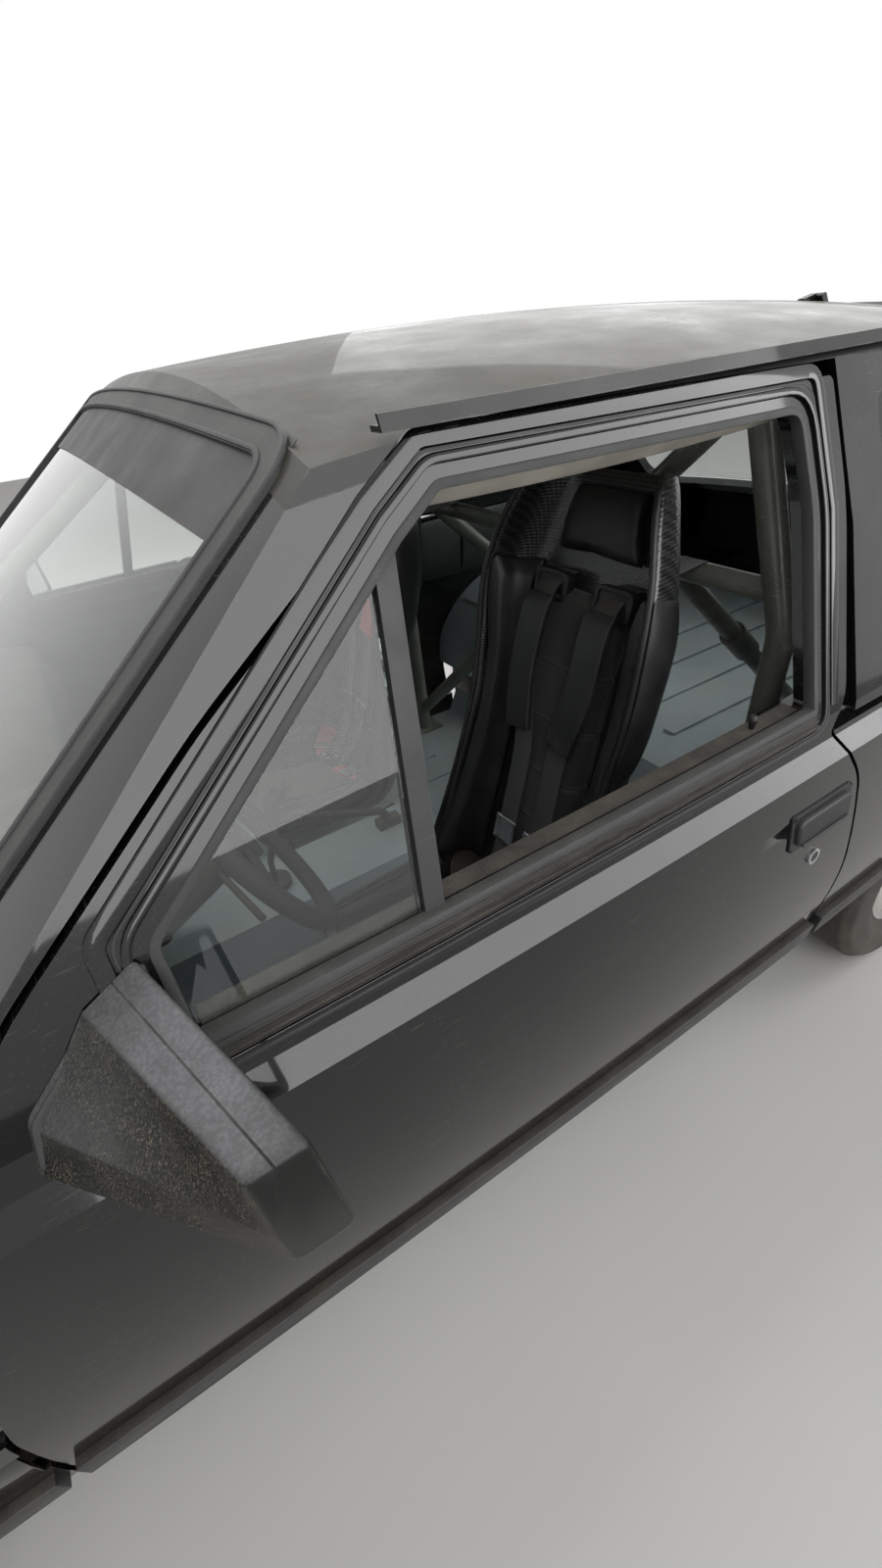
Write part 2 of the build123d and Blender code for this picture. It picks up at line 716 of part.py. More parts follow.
def build_tailgate():
    """Frame round the rear pane and the sloping rear deck panel below it."""
    frame = (hatch - slope_volume(hatch_line, hatch_across, 28)) & pane_prism(
        hatch_line, tailgate_rows, -seam / 2
    )
    frame = frame & block(-1622, -1000, -1500, 1500, 800, roof_height + 8) & deck_or_above
    pane = slope_volume(hatch_line, hatch_across, 1) - slope_volume(hatch_line, hatch_across, 1 + glass)
    pane = pane & pane_prism(hatch_line, hatch_hole, -joint_gap)
    frame = frame - pane_prism(hatch_line, hatch_hole, 0)
    deck = (deck_top - crown_volume(deck_line, bonnet_across, 24)) & block(
        -2006, -1590, -tailgate_half_low + 4, tailgate_half_low - 4, 700, 900
    )
    whole = frame + deck
    for y in (-200, 215):
        whole = whole + hinge_lug(y + joint_gap / 2, y + 15, hatch_strap)
    return largest(whole), pane


deck_or_above = block(-3000, 3000, -1500, 1500, 846, roof_height + 108)


def build_rear_panel():
    """Tail panel with recesses for the lamps."""
    strip = face_of([
        (tail_x + 36, 806), (tail_x + 6, 700), (tail_x, 560), (tail_x, 420), (tail_x + 20, 286),
        (tail_x + 44, 286), (tail_x + 28, 420), (tail_x + 28, 560), (tail_x + 34, 700), (
            tail_x + 38, 806
        ),
    ])
    slab = from_side(strip, -1500, 1500) & hull & plan_body & deck_top & block(
        -2100, -2012, -1500, 1500, 200, 900
    )
    gap = joint_gap
    for lamp in both(
        block(-2100, -2000, tail_inner - gap, tail_outer + gap, tail_low - gap, tail_high + gap)
    ):
        slab = slab - lamp
    return largest(slab)


def build_tail_lamp():
    """Three-section rear lamp block."""
    body = block(tail_x, tail_x + 40, tail_inner, tail_outer, tail_low, tail_high)
    return fillet(body.edges().filter_by(Axis.X), 10)


def bumper(x_out, x_in, z_low, z_high):
    """Bar across the end of the car with its corners turned back, on two irons."""
    sign = 1 if x_out > 0 else -1
    bar = 24
    inside = half_width - x_in**2 / (2 * plan_radius) + 3
    outside = inside + bar
    end = x_out - sign * (bar + 6)
    rows = [
        (x_in, -outside, 8), (x_out, -outside + 12, 100), (x_out, outside - 12, 100), (x_in, outside, 8)
    ]
    hollow = [
        (x_in - sign * 20, -inside, 2), (end, -inside + 10, 76), (end, inside - 10, 76),
        (x_in - sign * 20, inside, 2),
    ]
    shell = from_above(face_of(rows), z_low, z_high) - from_above(
        face_of(hollow), z_low - 10, z_high + 10
    )
    face_x = nose_x if sign > 0 else tail_x
    for side in (-1, 1):
        iron = block(
            min(face_x, end), max(face_x, end), side * 330 - 30, side * 330 + 30, z_low + 44, z_low + 92
        )
        shell = shell + iron
    return shell


def build_door():
    """Left door leaf: deep box below the belt, slim pressed frame round the window above it."""
    leaf = flank_band(0, door_depth, frame_depth) & from_side(
        offset(door_face, -door_gap / 2), 400, 1500
    )
    leaf = leaf - from_side(window_face, 400, 1500)
    pocket = block(handle_x - 66, handle_x + 66, half_width - 30, 1500, handle_z - 25, handle_z + 25)
    lock = Pos(handle_x, half_width - 2, lock_z) * Rot(90, 0, 0) * Cylinder(lock_radius + joint_gap, 40)
    leaf = leaf - pocket - lock
    for z in hinge_heights:
        strap = face_of([(hinge_x + x, hinge_y + y) for x, y in hinge_strap])
        leaf = leaf + from_above(strap, z + joint_gap / 2, z + hinge_length)
        pin = Cylinder(hinge_barrel, hinge_length - joint_gap / 2)
        leaf = leaf + Pos(hinge_x, hinge_y, z + hinge_length / 2 + joint_gap / 4) * pin
    return largest(leaf)


def build_vent_glass():
    """Fixed three-cornered pane ahead of the divider bar."""
    pane = flank_band(14, 14 + glass, 14 + glass) & from_side(
        offset(window_face, -joint_gap), 400, 1500
    )
    return pane & from_side(face_of(vent_rows), 400, 1500)


def build_drop_glass():
    """Wound-up pane behind the divider bar."""
    pane = flank_band(14, 14 + glass, 14 + glass) & from_side(
        offset(window_face, -joint_gap), 400, 1500
    )
    return pane & from_side(face_of(drop_rows), 400, 1500)


def build_door_fittings():
    """Divider bar, flap handle, lock barrel and inner pull of the left door."""
    bar = flank_band(6, 28, 28) & from_side(window_face, 400, 1500) & from_side(
        face_of(divider_rows), 400, 1500
    )
    flap = flank_band(-3, 10, 10) & block(
        handle_x - 62, handle_x + 62, 700, 1500, handle_z - 21, handle_z + 21
    )
    stem = block(
        handle_x + 30, handle_x + 62, half_width - 30, half_width - 10, handle_z - 21, handle_z + 21
    )
    lock = flank_band(-3, 18, 18) & Pos(handle_x, half_width, lock_z) * Rot(90, 0, 0) * Cylinder(
        lock_radius, 60
    )
    y = half_width - door_depth - 1
    pull = tube([(40, y, 640), (40, y - 40, 640), (200, y - 40, 640), (200, y, 640)], 16, 14)
    return [bar, flap + stem, lock, pull]


def build_mirror():
    """Angular mirror housing on a three-cornered foot at the front of the window."""
    inner = [(491, 1013), (541, 990), (602, 922), (617, 880), (497, 876)]
    outer = [(434, 1006), (478, 1006), (475, 930), (470, 880), (424, 878)]
    faces = []
    for y, rows in ((half_width - 60, inner), (half_width + 125, outer)):
        plane = Plane(origin=(0, y, 0), x_dir=(1, 0, 0), z_dir=(0, -1, 0))
        faces.append(plane * face_of([(x, z, 9) for x, z in rows]))
    housing = loft(faces, ruled=True)
    foot = flank_band(-8, -joint_gap, -joint_gap) & from_side(face_of(mirror_foot), 400, 1500)
    arm = block(500, 566, half_width - 88, half_width - 40, 905, 945) - flank_volume(-joint_gap)
    return largest(housing - flank_volume(-6) + foot + arm)


def wheel_profile(rows):
    """Ring turned about the wheel's own axle, which lies along Y. Rows: radius, offset outwards."""
    points = [(radius, offset_y) for radius, offset_y in rows]
    return revolve(Plane.XY * make_face(Polyline(*points, close=True)), Axis.Y)


def build_rim():
    """Spoked wheel about the origin, outer side towards +Y."""
    half = rim_width / 2
    r = rim_radius
    barrel = wheel_profile([
        (r, -half + 6), (r + 11, -half + 6), (r + 11, -half), (r - 6, -half), (
            r - 6, -half + 12
        ), (r - 14, -20),
        (r - 14, 30), (r - 6, half - 12), (r - 6, half), (r + 11, half), (
            r + 11, half - 6
        ), (r, half - 6),
    ])
    disc = wheel_profile([(30, 4), (30, 34), (62, 34), (r - 10, 26), (r - 10, 12), (62, 8), (62, 4)])
    for i in range(spokes):
        turn = 360 / spokes * i
        gap_face = face_of([(72, -10, 6), (128, -26, 9), (138, 0, 8), (128, 26, 9), (72, 10, 6)])
        window = extrude(Plane(origin=(0, 60, 0), x_dir=(1, 0, 0), z_dir=(0, -1, 0)) * gap_face, 80)
        disc = disc - Rot(0, turn, 0) * window
        if i % 2:
            disc = disc - Rot(
                0, turn + 180 / spokes, 0
            ) * Pos(49, 20, 0) * Rot(90, 0, 0) * Cylinder(7, 60)
    return barrel + disc


def build_tyre():
    """Tyre about the origin with rounded shoulders."""
    half = tyre_width / 2
    bead = rim_radius + joint_gap
    w = rim_width / 2 - 6 - joint_gap
    r = tyre_radius
    side = (r - bead) / 2.434
    outline_rows = [
        (bead, -w, 0.5), (bead + 12, -w, 0.5), (bead + 13, -w - 7, 4), (bead + side, -half, side),
        (r - 16, -half + 4, 16), (r, -half + 22, 14), (r, half - 22, 14), (r - 16, half - 4, 16),
        (bead + side, half, side), (bead + 13, w + 7, 4), (bead + 12, w, 0.5), (bead, w, 0.5),
    ]
    return revolve(Plane.XY * face_of(outline_rows), Axis.Y)


def build_knuckle():
    """Left upright with kingpin boss, stub axle, brake disc and steering arm."""
    x, z = front_axle_x, hub_height
    boss = Pos(x, kingpin_y, (eye_low + eye_high) / 2) * Cylinder(20, eye_high - eye_low)
    web = block(x - 32, x + 32, kingpin_y - 6, kingpin_y + 20, z - 60, z + 60)
    stub_length = track / 2 + 30 - kingpin_y
    stub = Pos(x, kingpin_y + stub_length / 2, z) * Rot(90, 0, 0) * Cylinder(hub_bore, stub_length)
    disc = Pos(x, kingpin_y + 34, z) * Rot(90, 0, 0) * Cylinder(118, 12)
    caliper = block(x - 126, x - 60, kingpin_y + 16, kingpin_y + 52, z - 48, z + 48)
    arm = block(x - 130, x, kingpin_y - 14, kingpin_y + 4, z - 72, z - 56)
    return boss + web + stub + disc + caliper + arm


def build_strut():
    """Left suspension leg from the tower down to the eye over the upright."""
    x = front_axle_x
    foot_z = eye_high + 64
    leg = Pos(x, strut_y, (foot_z + 690) / 2) * Cylinder(21, 690 - foot_z) + Pos(
        x, strut_y, 640
    ) * Cylinder(12, 250)
    pan = Pos(x, strut_y, 576) * Cylinder(56, 8) + Pos(x, strut_y, 761 - joint_gap) * Cylinder(60, 8)
    eye = Pos(x, kingpin_y, eye_high + joint_gap + 9) * Cylinder(19, 18)
    link = block(x - 14, x + 14, strut_y, kingpin_y, eye_high + joint_gap, eye_high + 18)
    foot = block(x - 18, x + 18, strut_y - 12, strut_y + 32, eye_high + joint_gap, eye_high + 80)
    return leg + pan + foot + eye + link + coil(x, strut_y, 580, 757 - joint_gap, 46, 6, 6)


def coil(x, y, z_low, z_high, radius, wire, rings):
    """Spring as flat-sided rings tilted to and fro so that neighbours meet."""
    pitch = (z_high - z_low - wire) / rings
    tilt = math.degrees(math.asin(pitch / 2 / radius))
    spring = None
    for i in range(rings):
        lean = tilt if i % 2 else -tilt
        hoop = Cylinder(radius + wire, 1.6 * wire) - Cylinder(radius - wire, 2 * wire)
        ring = Pos(x, y, z_low + wire / 2 + pitch * (i + 0.5)) * Rot(lean, 0, 0) * hoop
        spring = ring if spring is None else spring + ring
    return spring & block(x - 200, x + 200, y - 200, y + 200, z_low, z_high)


def build_front_subframe():
    """Crossmember, steering rack and lower arms with their eyes under the uprights."""
    x = front_axle_x
    low = hub_height - 94
    reach = kingpin_y - 192
    beam = block(x - 45, x + 45, -reach, reach, low, low + 50)
    beam = beam - block(x - 37, x + 37, -reach - 10, reach + 10, low + 8, low + 42)
    rack = Pos(x - 128, 0, low + 30) * Rot(90, 0, 0) * Cylinder(24, 2 * reach - 80)
    brackets = block(x - 132, x - 40, -300, -270, low + 10, low + 44)
    brackets = brackets + mirror(brackets, about=Plane.XZ)
    whole = beam + rack + brackets
    for side in (-1, 1):
        rows = [
            (x - 30, side * (reach - 40)), (x - 18, side * (kingpin_y - 12)), (
                x + 18, side * (kingpin_y - 12)
            ),
            (x + 150, side * (reach - 40)), (x + 110, side * (reach - 40)), (
                x + 16, side * (kingpin_y - 72)
            ),
            (x + 10, side * (reach - 40)),
        ]
        arm = from_above(make_face(Polyline(*rows, close=True)), eye_low - 18, eye_low - joint_gap)
        eye = Pos(x, side * kingpin_y, eye_low - joint_gap - 9) * Cylinder(20, 18)
        rail = block(
            x - 520, x + 540, side * (reach - 16) - 24, side * (reach - 16) + 24, low + 48, 300
        )
        whole = whole + arm + eye + rail
    return whole


def build_rear_axle():
    """Live axle with its final drive, trailing arms, coil seats and propeller shaft."""
    x, z = rear_axle_x, hub_height
    beam = Pos(x, 0, z) * Rot(90, 0, 0) * Cylinder(36, track - 260)
    drive = Pos(x, 0, z) * Sphere(112)
    drive = drive & block(x - 112, x + 112, -80, 80, z - 95, z + 92)
    shaft = tube([(x, 0, z), (-620, 0, 285), (840 - joint_gap, 0, 300)], 56, 300)
    whole = beam + drive + shaft
    for side in (-1, 1):
        stub = Pos(x, side * (track / 2 - 55), z) * Rot(90, 0, 0) * Cylinder(hub_bore, 170)
        drum = Pos(x, side * (track / 2 - 50), z) * Rot(90, 0, 0) * Cylinder(112, 52)
        arm = tube([(x, side * 430, z - 20), (x + 318, side * 430, 282)], 40, 10)
        arm = arm + Pos(x + 326, side * 430, 282) * Rot(90, 0, 0) * Cylinder(26, 50)
        seat = Pos(x, side * 470, z + 34) * Cylinder(52, 8)
        spring = coil(x, side * 470, z + 38, 384 - joint_gap, 44, 6, 2)
        whole = whole + stub + drum + arm + seat + spring
    return whole


def build_engine():
    """Engine and gearbox as one plain block at its place."""
    engine = block(1120, 1640, -190, 190, 262, 740)
    gearbox = block(840, 1120, -95, 95, 262, 400)
    return engine + gearbox


def build_exhaust():
    """Pipe under the floor with a rear silencer."""
    pipe = tube(
        [(1150, -230, 300), (1000, -230, 178), (-700, -230, 172), (-860, -300, 180), (-1500, -300, 190)],
        46, 60,
    )
    box = Pos(-1700, -300, 205) * Rot(0, 90, 0) * Cylinder(72, 420)
    tail = Pos(-1970, -300, 190) * Rot(0, 90, 0) * Cylinder(22, 200)
    hangers = block(294, 306, -236, -224, 176, floor_height) + block(-1706, -1694, -306, -294, 270, 384)
    return pipe + box + tail + hangers


def build_fuel_tank():
    """Tank under the rear floor."""
    tank = block(-1880, -1430, -180, 330, 262, 384 - joint_gap)
    return fillet(tank.edges().filter_by(Axis.Z), 40)


def seat_at(shape, side):
    """A seat piece built about the middle of the car, moved to its side."""
    return Pos(0, side * seat_y, 0) * shape


def belt_slots():
    """Slots that the shoulder straps pass through."""
    slots = block(-480, -200, belt_slot_y - 32, belt_slot_y + 32, belt_slot_z - 18, belt_slot_z + 18)
    return slots + mirror(slots, about=Plane.XZ)


def build_seat():
    """Bucket seat shell with side wings and shoulder strap slots."""
    solid = from_side(face_of(seat_side), -seat_half, seat_half)
    hollow = from_side(face_of(seat_hollow), -seat_half + seat_shell, seat_half - seat_shell)
    shell = solid & from_front(face_of(seat_front), -600, 400)
    return shell - hollow - belt_slots()


def build_pads():
    """Cushion, back pad and two wing pads of a seat."""
    wide = seat_half - seat_shell - joint_gap
    cushion = face_of([(214, 336, 8), (214, 392, 20), (-96, 366, 20), (-100, 302, 8)])
    cushion = from_side(cushion, -wide, wide)
    back = from_side(offset(face_of(seat_hollow), -joint_gap), -150, 150)
    band = face_of([(-172, 380, 10), (-110, 380, 20), (-300, 1120, 20), (-420, 1120, 10)])
    back = back & from_side(band, -160, 160) - belt_slots()
    wing = face_of([
        (-90, 520, 20), (-130, 700, 60), (-215, 1000, 60), (-262, 1040, 20), (-300, 900, 60), (-160, 500, 20),
    ])
    wings = both(from_side(wing, 160, wide))
    hollow = from_side(offset(face_of(seat_hollow), -joint_gap), -wide, wide)
    return [cushion & hollow, back, wings[0] & hollow, wings[1] & hollow]


def build_seat_mount():
    """Two rails with raised brackets between the floor ribs and the seat pan."""
    under = from_side(face_of(seat_side), -seat_half - 1, seat_half + 1)
    mounts = []
    for side in (-1, 1):
        y = side * 1.5 * rib_pitch
        rail = block(-190, 210, y - 14, y + 14, rib_top, rib_top + 18)
        front = block(150, 190, y - 12, y + 12, rib_top, 340)
        rear = block(-160, -120, y - 12, y + 12, rib_top, 320)
        mounts.append((rail + front + rear) - under)
    return mounts


def build_main_hoop():
    """Main hoop behind the seats with its harness bar, diagonal and feet."""
    low = floor_top + foot_plate
    points = [(hoop_x, y, z if z else low) for y, z in hoop_rows]
    hoop = tube(points, cage_tube, 110)
    wide = half_width - 224
    bar = tube([(hoop_x, wide, harness_bar_z), (hoop_x, -wide, harness_bar_z)], stay_tube, 10)
    diagonal = tube(
        [(hoop_x, half_width - 310, hoop_top - 17), (hoop_x, 230 - half_width, 300)], stay_tube, 10
    )
    hoop = hoop + bar + diagonal
    for side in both(
        block(hoop_x - 50, hoop_x + 50, half_width - 270, half_width - 185, floor_top, low)
    ):
        hoop = hoop + side
    return hoop


def build_front_hoops(main_hoop):
    """Side hoops along the roof edge and screen pillar down to the floor."""
    low = floor_top + foot_plate
    points = [
        (hoop_x, half_width - 318 - cage_r, over_belt(1298) - cage_r),
        (120, half_width - 312 - cage_r, over_belt(1306) - cage_r),
        (590, half_width - 220 - cage_r, over_belt(984) - cage_r),
        (672, half_width - 202 - cage_r, 820),
        (672, half_width - 202 - cage_r, low),
    ]
    side = tube(points, cage_tube, 70) + block(
        622, 712, half_width - 270, half_width - 185, floor_top, low
    )
    return [shape - main_hoop for shape in both(side)]


def build_rear_stays(main_hoop):
    """Stays from the harness bar back and down to the rear floor."""
    plate = block(-1200, -1090, 352, 448, 400, 406)
    side = tube([(hoop_x, 400, harness_bar_z), (-1145, 400, 406)], stay_tube, 10)
    sleeve = tube(
        [(-700, 400, harness_bar_z - 184.2), (-760, 400, harness_bar_z - 239.4)], stay_tube + 14, 10
    )
    side = (side + sleeve) & block(-1300, -400, 0, 600, 406, 1100)
    return [shape - main_hoop for shape in both(side + plate)]


def build_door_bars(main_hoop, front_hoops):
    """Bars across the door openings at hip height."""
    side = tube([(hoop_x, half_width - 217, 760), (672, half_width - 224, 480)], stay_tube, 10)
    bars = []
    for shape in both(side):
        for other in [main_hoop, *front_hoops]:
            shape = shape - other
        bars.append(largest(shape))
    return bars


def column_point(distance):
    """Point on the steering axis at a distance below the wheel's middle."""
    dx, dz = column_low[0] - column_top[0], column_low[1] - column_top[1]
    length = math.hypot(dx, dz)
    return (column_top[0] + dx / length * distance, seat_y, column_top[1] + dz / length * distance)


def build_dashboard():
    """Dashboard with a hood over the dials and a glovebox face."""
    section = face_of([
        (506, 660, 20), (492, 800, 20), (520, 862, 24), (600, 880, 40), (779.7, 866, 4), (
            779.7, 690, 4
        ), (700, 640, 20),
    ])
    wide = half_width - 214 - cage_tube
    body = from_side(section, -wide, wide)
    hood = from_side(
        face_of([(470, 846, 10), (470, 868, 8), (560, 902, 30), (640, 890, 30), (640, 840, 2)]),
        seat_y - 190, seat_y + 190,
    )
    hollow = from_side(
        face_of([(440, 852, 4), (520, 884, 10), (530, 700, 4), (440, 700, 4)]), seat_y - 176,
        seat_y + 176,
    )
    body = (body + hood - hollow) & crown_volume(bonnet_line, bonnet_across, 19)
    return body - tube([column_point(20), column_point(500)], 48, 10)


def build_column():
    """Steering column with its stalks."""
    top = column_point(21 + joint_gap)
    column = tube([top, column_point(480)], 48, 10) & block(0, 779.7, 0, 700, 300, 900)
    stalk = tube([column_point(60), (370, seat_y + 170, 800)], 10, 10)
    other = tube([column_point(60), (370, seat_y - 170, 800)], 10, 10)
    return column + stalk + other


def build_steering_wheel():
    """Dished three-spoke wheel."""
    down = Vector(*column_point(1)) - Vector(*column_point(0))
    frame = Plane(origin=column_point(0), x_dir=(0, 1, 0), z_dir=-down)
    rim = frame * Torus(168, 14)
    hub = frame * Pos(0, 0, -9) * Cylinder(34, 24)
    wheel = rim + hub
    for angle in (0, 180, 270):
        wheel = wheel + frame * Rot(0, 0, angle) * Pos(92, 0, -4) * Box(140, 24, 5)
    return wheel


def build_controls():
    """Pedals, gear lever and handbrake."""
    pieces = []
    for i in range(3):
        y = (250, 325, 452)[i]
        arm = block(650, 660, y - 5, y + 5, 352, 560) + block(640, 652, y - 26, y + 26, 300, 362)
        arm = arm + block(650, 779.7, y - 5, y + 5, 548, 562)
        pieces.append(arm)
    lever = tube([(250, 0, 372), (250, 0, 440), (190, 0, 610)], 14, 40) + Pos(188, 0, 616) * Sphere(22)
    lever = lever + Pos(250, 0, 380) * Cylinder(34, 16)
    brake = tube([(-60, -30, 384), (-50, -30, 420), (150, -30, 500)], 20, 30) + block(
        -90, -30, -44, -16, 372, 396
    )
    return pieces + [lever, brake]


def build_harness():
    """Shoulder and lap straps with a round buckle on the cushion."""
    strap = face_of([
        (
            -500, 1022.5
        ), (-340, 1012), (-268, 1010), (-260, 984), (-106, 386), (-60, 373), (-60, 370), (-110, 384),
        (-264, 984), (-271, 1007), (-340, 1009), (-500, 1019.5),
    ])
    shoulders = both(from_side(strap, belt_slot_y - 24, belt_slot_y + 24))
    lap = face_of([(-90, 370.3), (-40, 374.5), (-40, 371.5), (-90, 367.3)])
    lap = both(from_side(lap, 10, seat_half - seat_shell - 1))
    buckle = Pos(-60, 0, 379) * Rot(0, -4.8, 0) * Cylinder(30, 18)
    joint = block(-84, -44, -100, 100, 372, 378)
    return shoulders[0] + shoulders[1] + lap[0] + lap[1] + buckle + joint


def build_all():
    """Builds every node of the car."""
    roof = build_roof()
    pillar = build_pillars(roof)
    quarter = build_quarter(roof)
    save("roof_panel", roof)
    save("a_pillars", *both(pillar[0]), *both(pillar[1]))
    save("quarter_panels", *both(quarter))
    save("quarter_windows", *both(build_quarter_window()))
    pane, seal = build_screen()
    save("windscreen", pane)
    save("windscreen_seal", seal)
    save("cowl_and_firewall", build_bulkhead() - seal)
    save("front_wings", *both(build_fender()))
    save("bonnet", build_bonnet())
    save("front_panel", build_front_panel())
    save("grille", build_grille())
    save("headlamps", *both(build_headlamp()))
    save("inner_wings", *both(build_inner_wing()))
    rear_floor = build_rear_floor()
    floor_pan = build_floor() - rear_floor
    save("floor_pan", floor_pan)
    save("rear_floor", rear_floor)
    save("sills", *both(build_sill()))
    frame, glass_pane = build_tailgate()
    save("tailgate", frame)
    save("tailgate_glass", glass_pane)
    save("rear_panel", build_rear_panel())
    save("tail_lamps", *both(build_tail_lamp()))
    save("front_bumper", bumper(half_length, 1780, 398, 496))
    save("rear_bumper", bumper(-half_length, -1640, 430, 528))
    door = build_door()
    fittings = build_door_fittings()
    wing_mirror = build_mirror()
    vent = build_vent_glass()
    drop = build_drop_glass()
    for index, side in enumerate(("left", "right")):
        save("door_" + side, both(door)[index])
        save("door_fittings_" + side, *[both(piece)[index] for piece in fittings])
        save("door_mirror_" + side, both(wing_mirror)[index])
    save("door_glass_left", vent)
    save("door_glass_right", both(vent)[1], both(drop)[1])
    rim = build_rim()
    tyre = build_tyre()
    corners = {
        "fl": (front_axle_x, 1), "fr": (front_axle_x, -1), "rl": (rear_axle_x, 1),
        "rr": (rear_axle_x, -1),
    }
    for corner, (x, side) in corners.items():
        for name, piece in (("rim_", rim), ("tyre_", tyre)):
            turned = piece if side > 0 else mirror(piece, about=Plane.XZ)
            save(name + corner, Pos(x, side * track / 2, hub_height) * turned)
    knuckles = both(build_knuckle())
    save("knuckle_left", knuckles[0])
    save("knuckle_right", knuckles[1])
    save("front_struts", *both(build_strut()))
    save("front_subframe", build_front_subframe())
    save("rear_axle", build_rear_axle() - floor_pan)
    save("engine_block", build_engine())
    save("exhaust", build_exhaust())
    save("fuel_tank", build_fuel_tank())
    save("dashboard", build_dashboard())
    save("steering_column", build_column())
    save("steering_wheel", build_steering_wheel())
    save("cabin_controls", *build_controls())
    seat = build_seat()
    save("bucket_seats", *[seat_at(seat, side) for side in (1, -1)])
    save("seat_pads", *[seat_at(pad, side) for pad in build_pads() for side in (1, -1)])
    save("seat_mounts", *[seat_at(rail, side) for rail in build_seat_mount() for side in (1, -1)])
    save("harnesses", *[seat_at(build_harness(), side) for side in (1, -1)])
    main_hoop = build_main_hoop()
    front_hoops = build_front_hoops(main_hoop)
    save("cage_main_hoop", main_hoop)
    save("cage_front_hoops", *front_hoops)
    save("cage_rear_stays", *build_rear_stays(main_hoop))
    save("cage_door_bars", *build_door_bars(main_hoop, front_hoops))


build_all()
os.makedirs("parts", exist_ok=True)
for part_name, part_shape in parts.items():
    export_step(part_shape, f"parts/{part_name}.step")
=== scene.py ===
import math

import bpy
from mathutils import Matrix, Vector


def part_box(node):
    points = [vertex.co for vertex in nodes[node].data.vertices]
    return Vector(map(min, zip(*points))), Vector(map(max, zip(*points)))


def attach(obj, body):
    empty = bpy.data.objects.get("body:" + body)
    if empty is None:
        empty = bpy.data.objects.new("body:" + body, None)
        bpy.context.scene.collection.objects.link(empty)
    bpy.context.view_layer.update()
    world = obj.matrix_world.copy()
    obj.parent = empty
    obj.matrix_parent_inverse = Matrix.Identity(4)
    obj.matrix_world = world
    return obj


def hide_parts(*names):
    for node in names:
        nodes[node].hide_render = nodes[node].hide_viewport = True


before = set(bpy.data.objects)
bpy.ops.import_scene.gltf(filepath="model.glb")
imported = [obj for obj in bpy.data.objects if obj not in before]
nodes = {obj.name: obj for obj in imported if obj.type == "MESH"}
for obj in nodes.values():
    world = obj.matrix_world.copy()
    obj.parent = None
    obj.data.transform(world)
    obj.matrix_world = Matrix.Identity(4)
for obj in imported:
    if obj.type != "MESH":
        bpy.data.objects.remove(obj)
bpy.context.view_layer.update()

# Sizes of the body that the pieces here follow, in metres
PLAN_RADIUS = 30.0
ROOF_Z = 1.392
FRONT_AXLE_X = 1.380
REAR_AXLE_X = -1.020
TYRE_RADIUS = 0.290
SEAT_Y = 0.3725
SIDES = {"left": 1, "right": -1}

materials = {}


# Effects that several finishes share

def new_group(name, inputs, outputs):
    """Node group with named sockets. Inputs: label, kind, start value."""
    group = bpy.data.node_groups.new(name, "ShaderNodeTree")
    for label, kind, value in inputs:
        socket = group.interface.new_socket(label, in_out="INPUT", socket_type="NodeSocket" + kind)
        socket.default_value = value
    for label, kind in outputs:
        group.interface.new_socket(label, in_out="OUTPUT", socket_type="NodeSocket" + kind)
    return group, group.nodes.new("NodeGroupInput"), group.nodes.new("NodeGroupOutput")


def add(tree, kind, **values):
    """New node with its plain settings and unlinked inputs filled in."""
    node = tree.nodes.new("ShaderNode" + kind)
    for key, value in values.items():
        if hasattr(node, key):
            setattr(node, key, value)
        else:
            node.inputs[key.replace("_", " ")].default_value = value
    return node


def maths(tree, operation, first, second=0.5, clamp=False):
    """Math node on two values or sockets."""
    node = tree.nodes.new("ShaderNodeMath")
    node.operation = operation
    node.use_clamp = clamp
    for socket, value in zip(node.inputs, (first, second)):
        if isinstance(value, (int, float)):
            socket.default_value = value
        else:
            tree.links.new(value, socket)
    return node.outputs[0]


def spread(tree, value, low, high, to_low=0.0, to_high=1.0):
    """Map Range node, clamped. The limits may be numbers or sockets."""
    node = tree.nodes.new("ShaderNodeMapRange")
    for socket, given in zip(node.inputs, (value, low, high, to_low, to_high)):
        if isinstance(given, (int, float)):
            socket.default_value = given
        else:
            tree.links.new(given, socket)
    return node.outputs[0]


def blend_colors(tree, factor, first, second):
    """Colour mix of two colours or sockets."""
    node = tree.nodes.new("ShaderNodeMix")
    node.data_type = "RGBA"
    for socket, given in ((node.inputs[0], factor), (node.inputs[6], first), (node.inputs[7], second)):
        if isinstance(given, (int, float, tuple)):
            socket.default_value = given
        else:
            tree.links.new(given, socket)
    return node.outputs[2]


def noise(tree, vector, scale, detail=3.0, rough=0.55):
    """Noise texture on a vector."""
    node = tree.nodes.new("ShaderNodeTexNoise")
    node.inputs["Detail"].default_value = detail
    node.inputs["Roughness"].default_value = rough
    tree.links.new(vector, node.inputs["Vector"])
    if isinstance(scale, (int, float)):
        node.inputs["Scale"].default_value = scale
    else:
        tree.links.new(scale, node.inputs["Scale"])
    return node.outputs[0]


def object_place(tree):
    """Object coordinates."""
    return add(tree, "TexCoord").outputs["Object"]


def mapped(tree, place, turn=(0, 0, 0), stretch=(1, 1, 1)):
    """Coordinates turned and stretched."""
    mapping = add(tree, "Mapping", Rotation=turn, Scale=stretch)
    tree.links.new(place, mapping.inputs["Vector"])
    return mapping.outputs[0]


def split(tree, vector):
    """The three parts of a vector."""
    node = tree.nodes.new("ShaderNodeSeparateXYZ")
    tree.links.new(vector, node.inputs[0])
    return node.outputs


def surface_normal(tree):
    """Direction in which the surface faces."""
    return add(tree, "NewGeometry").outputs["Normal"]


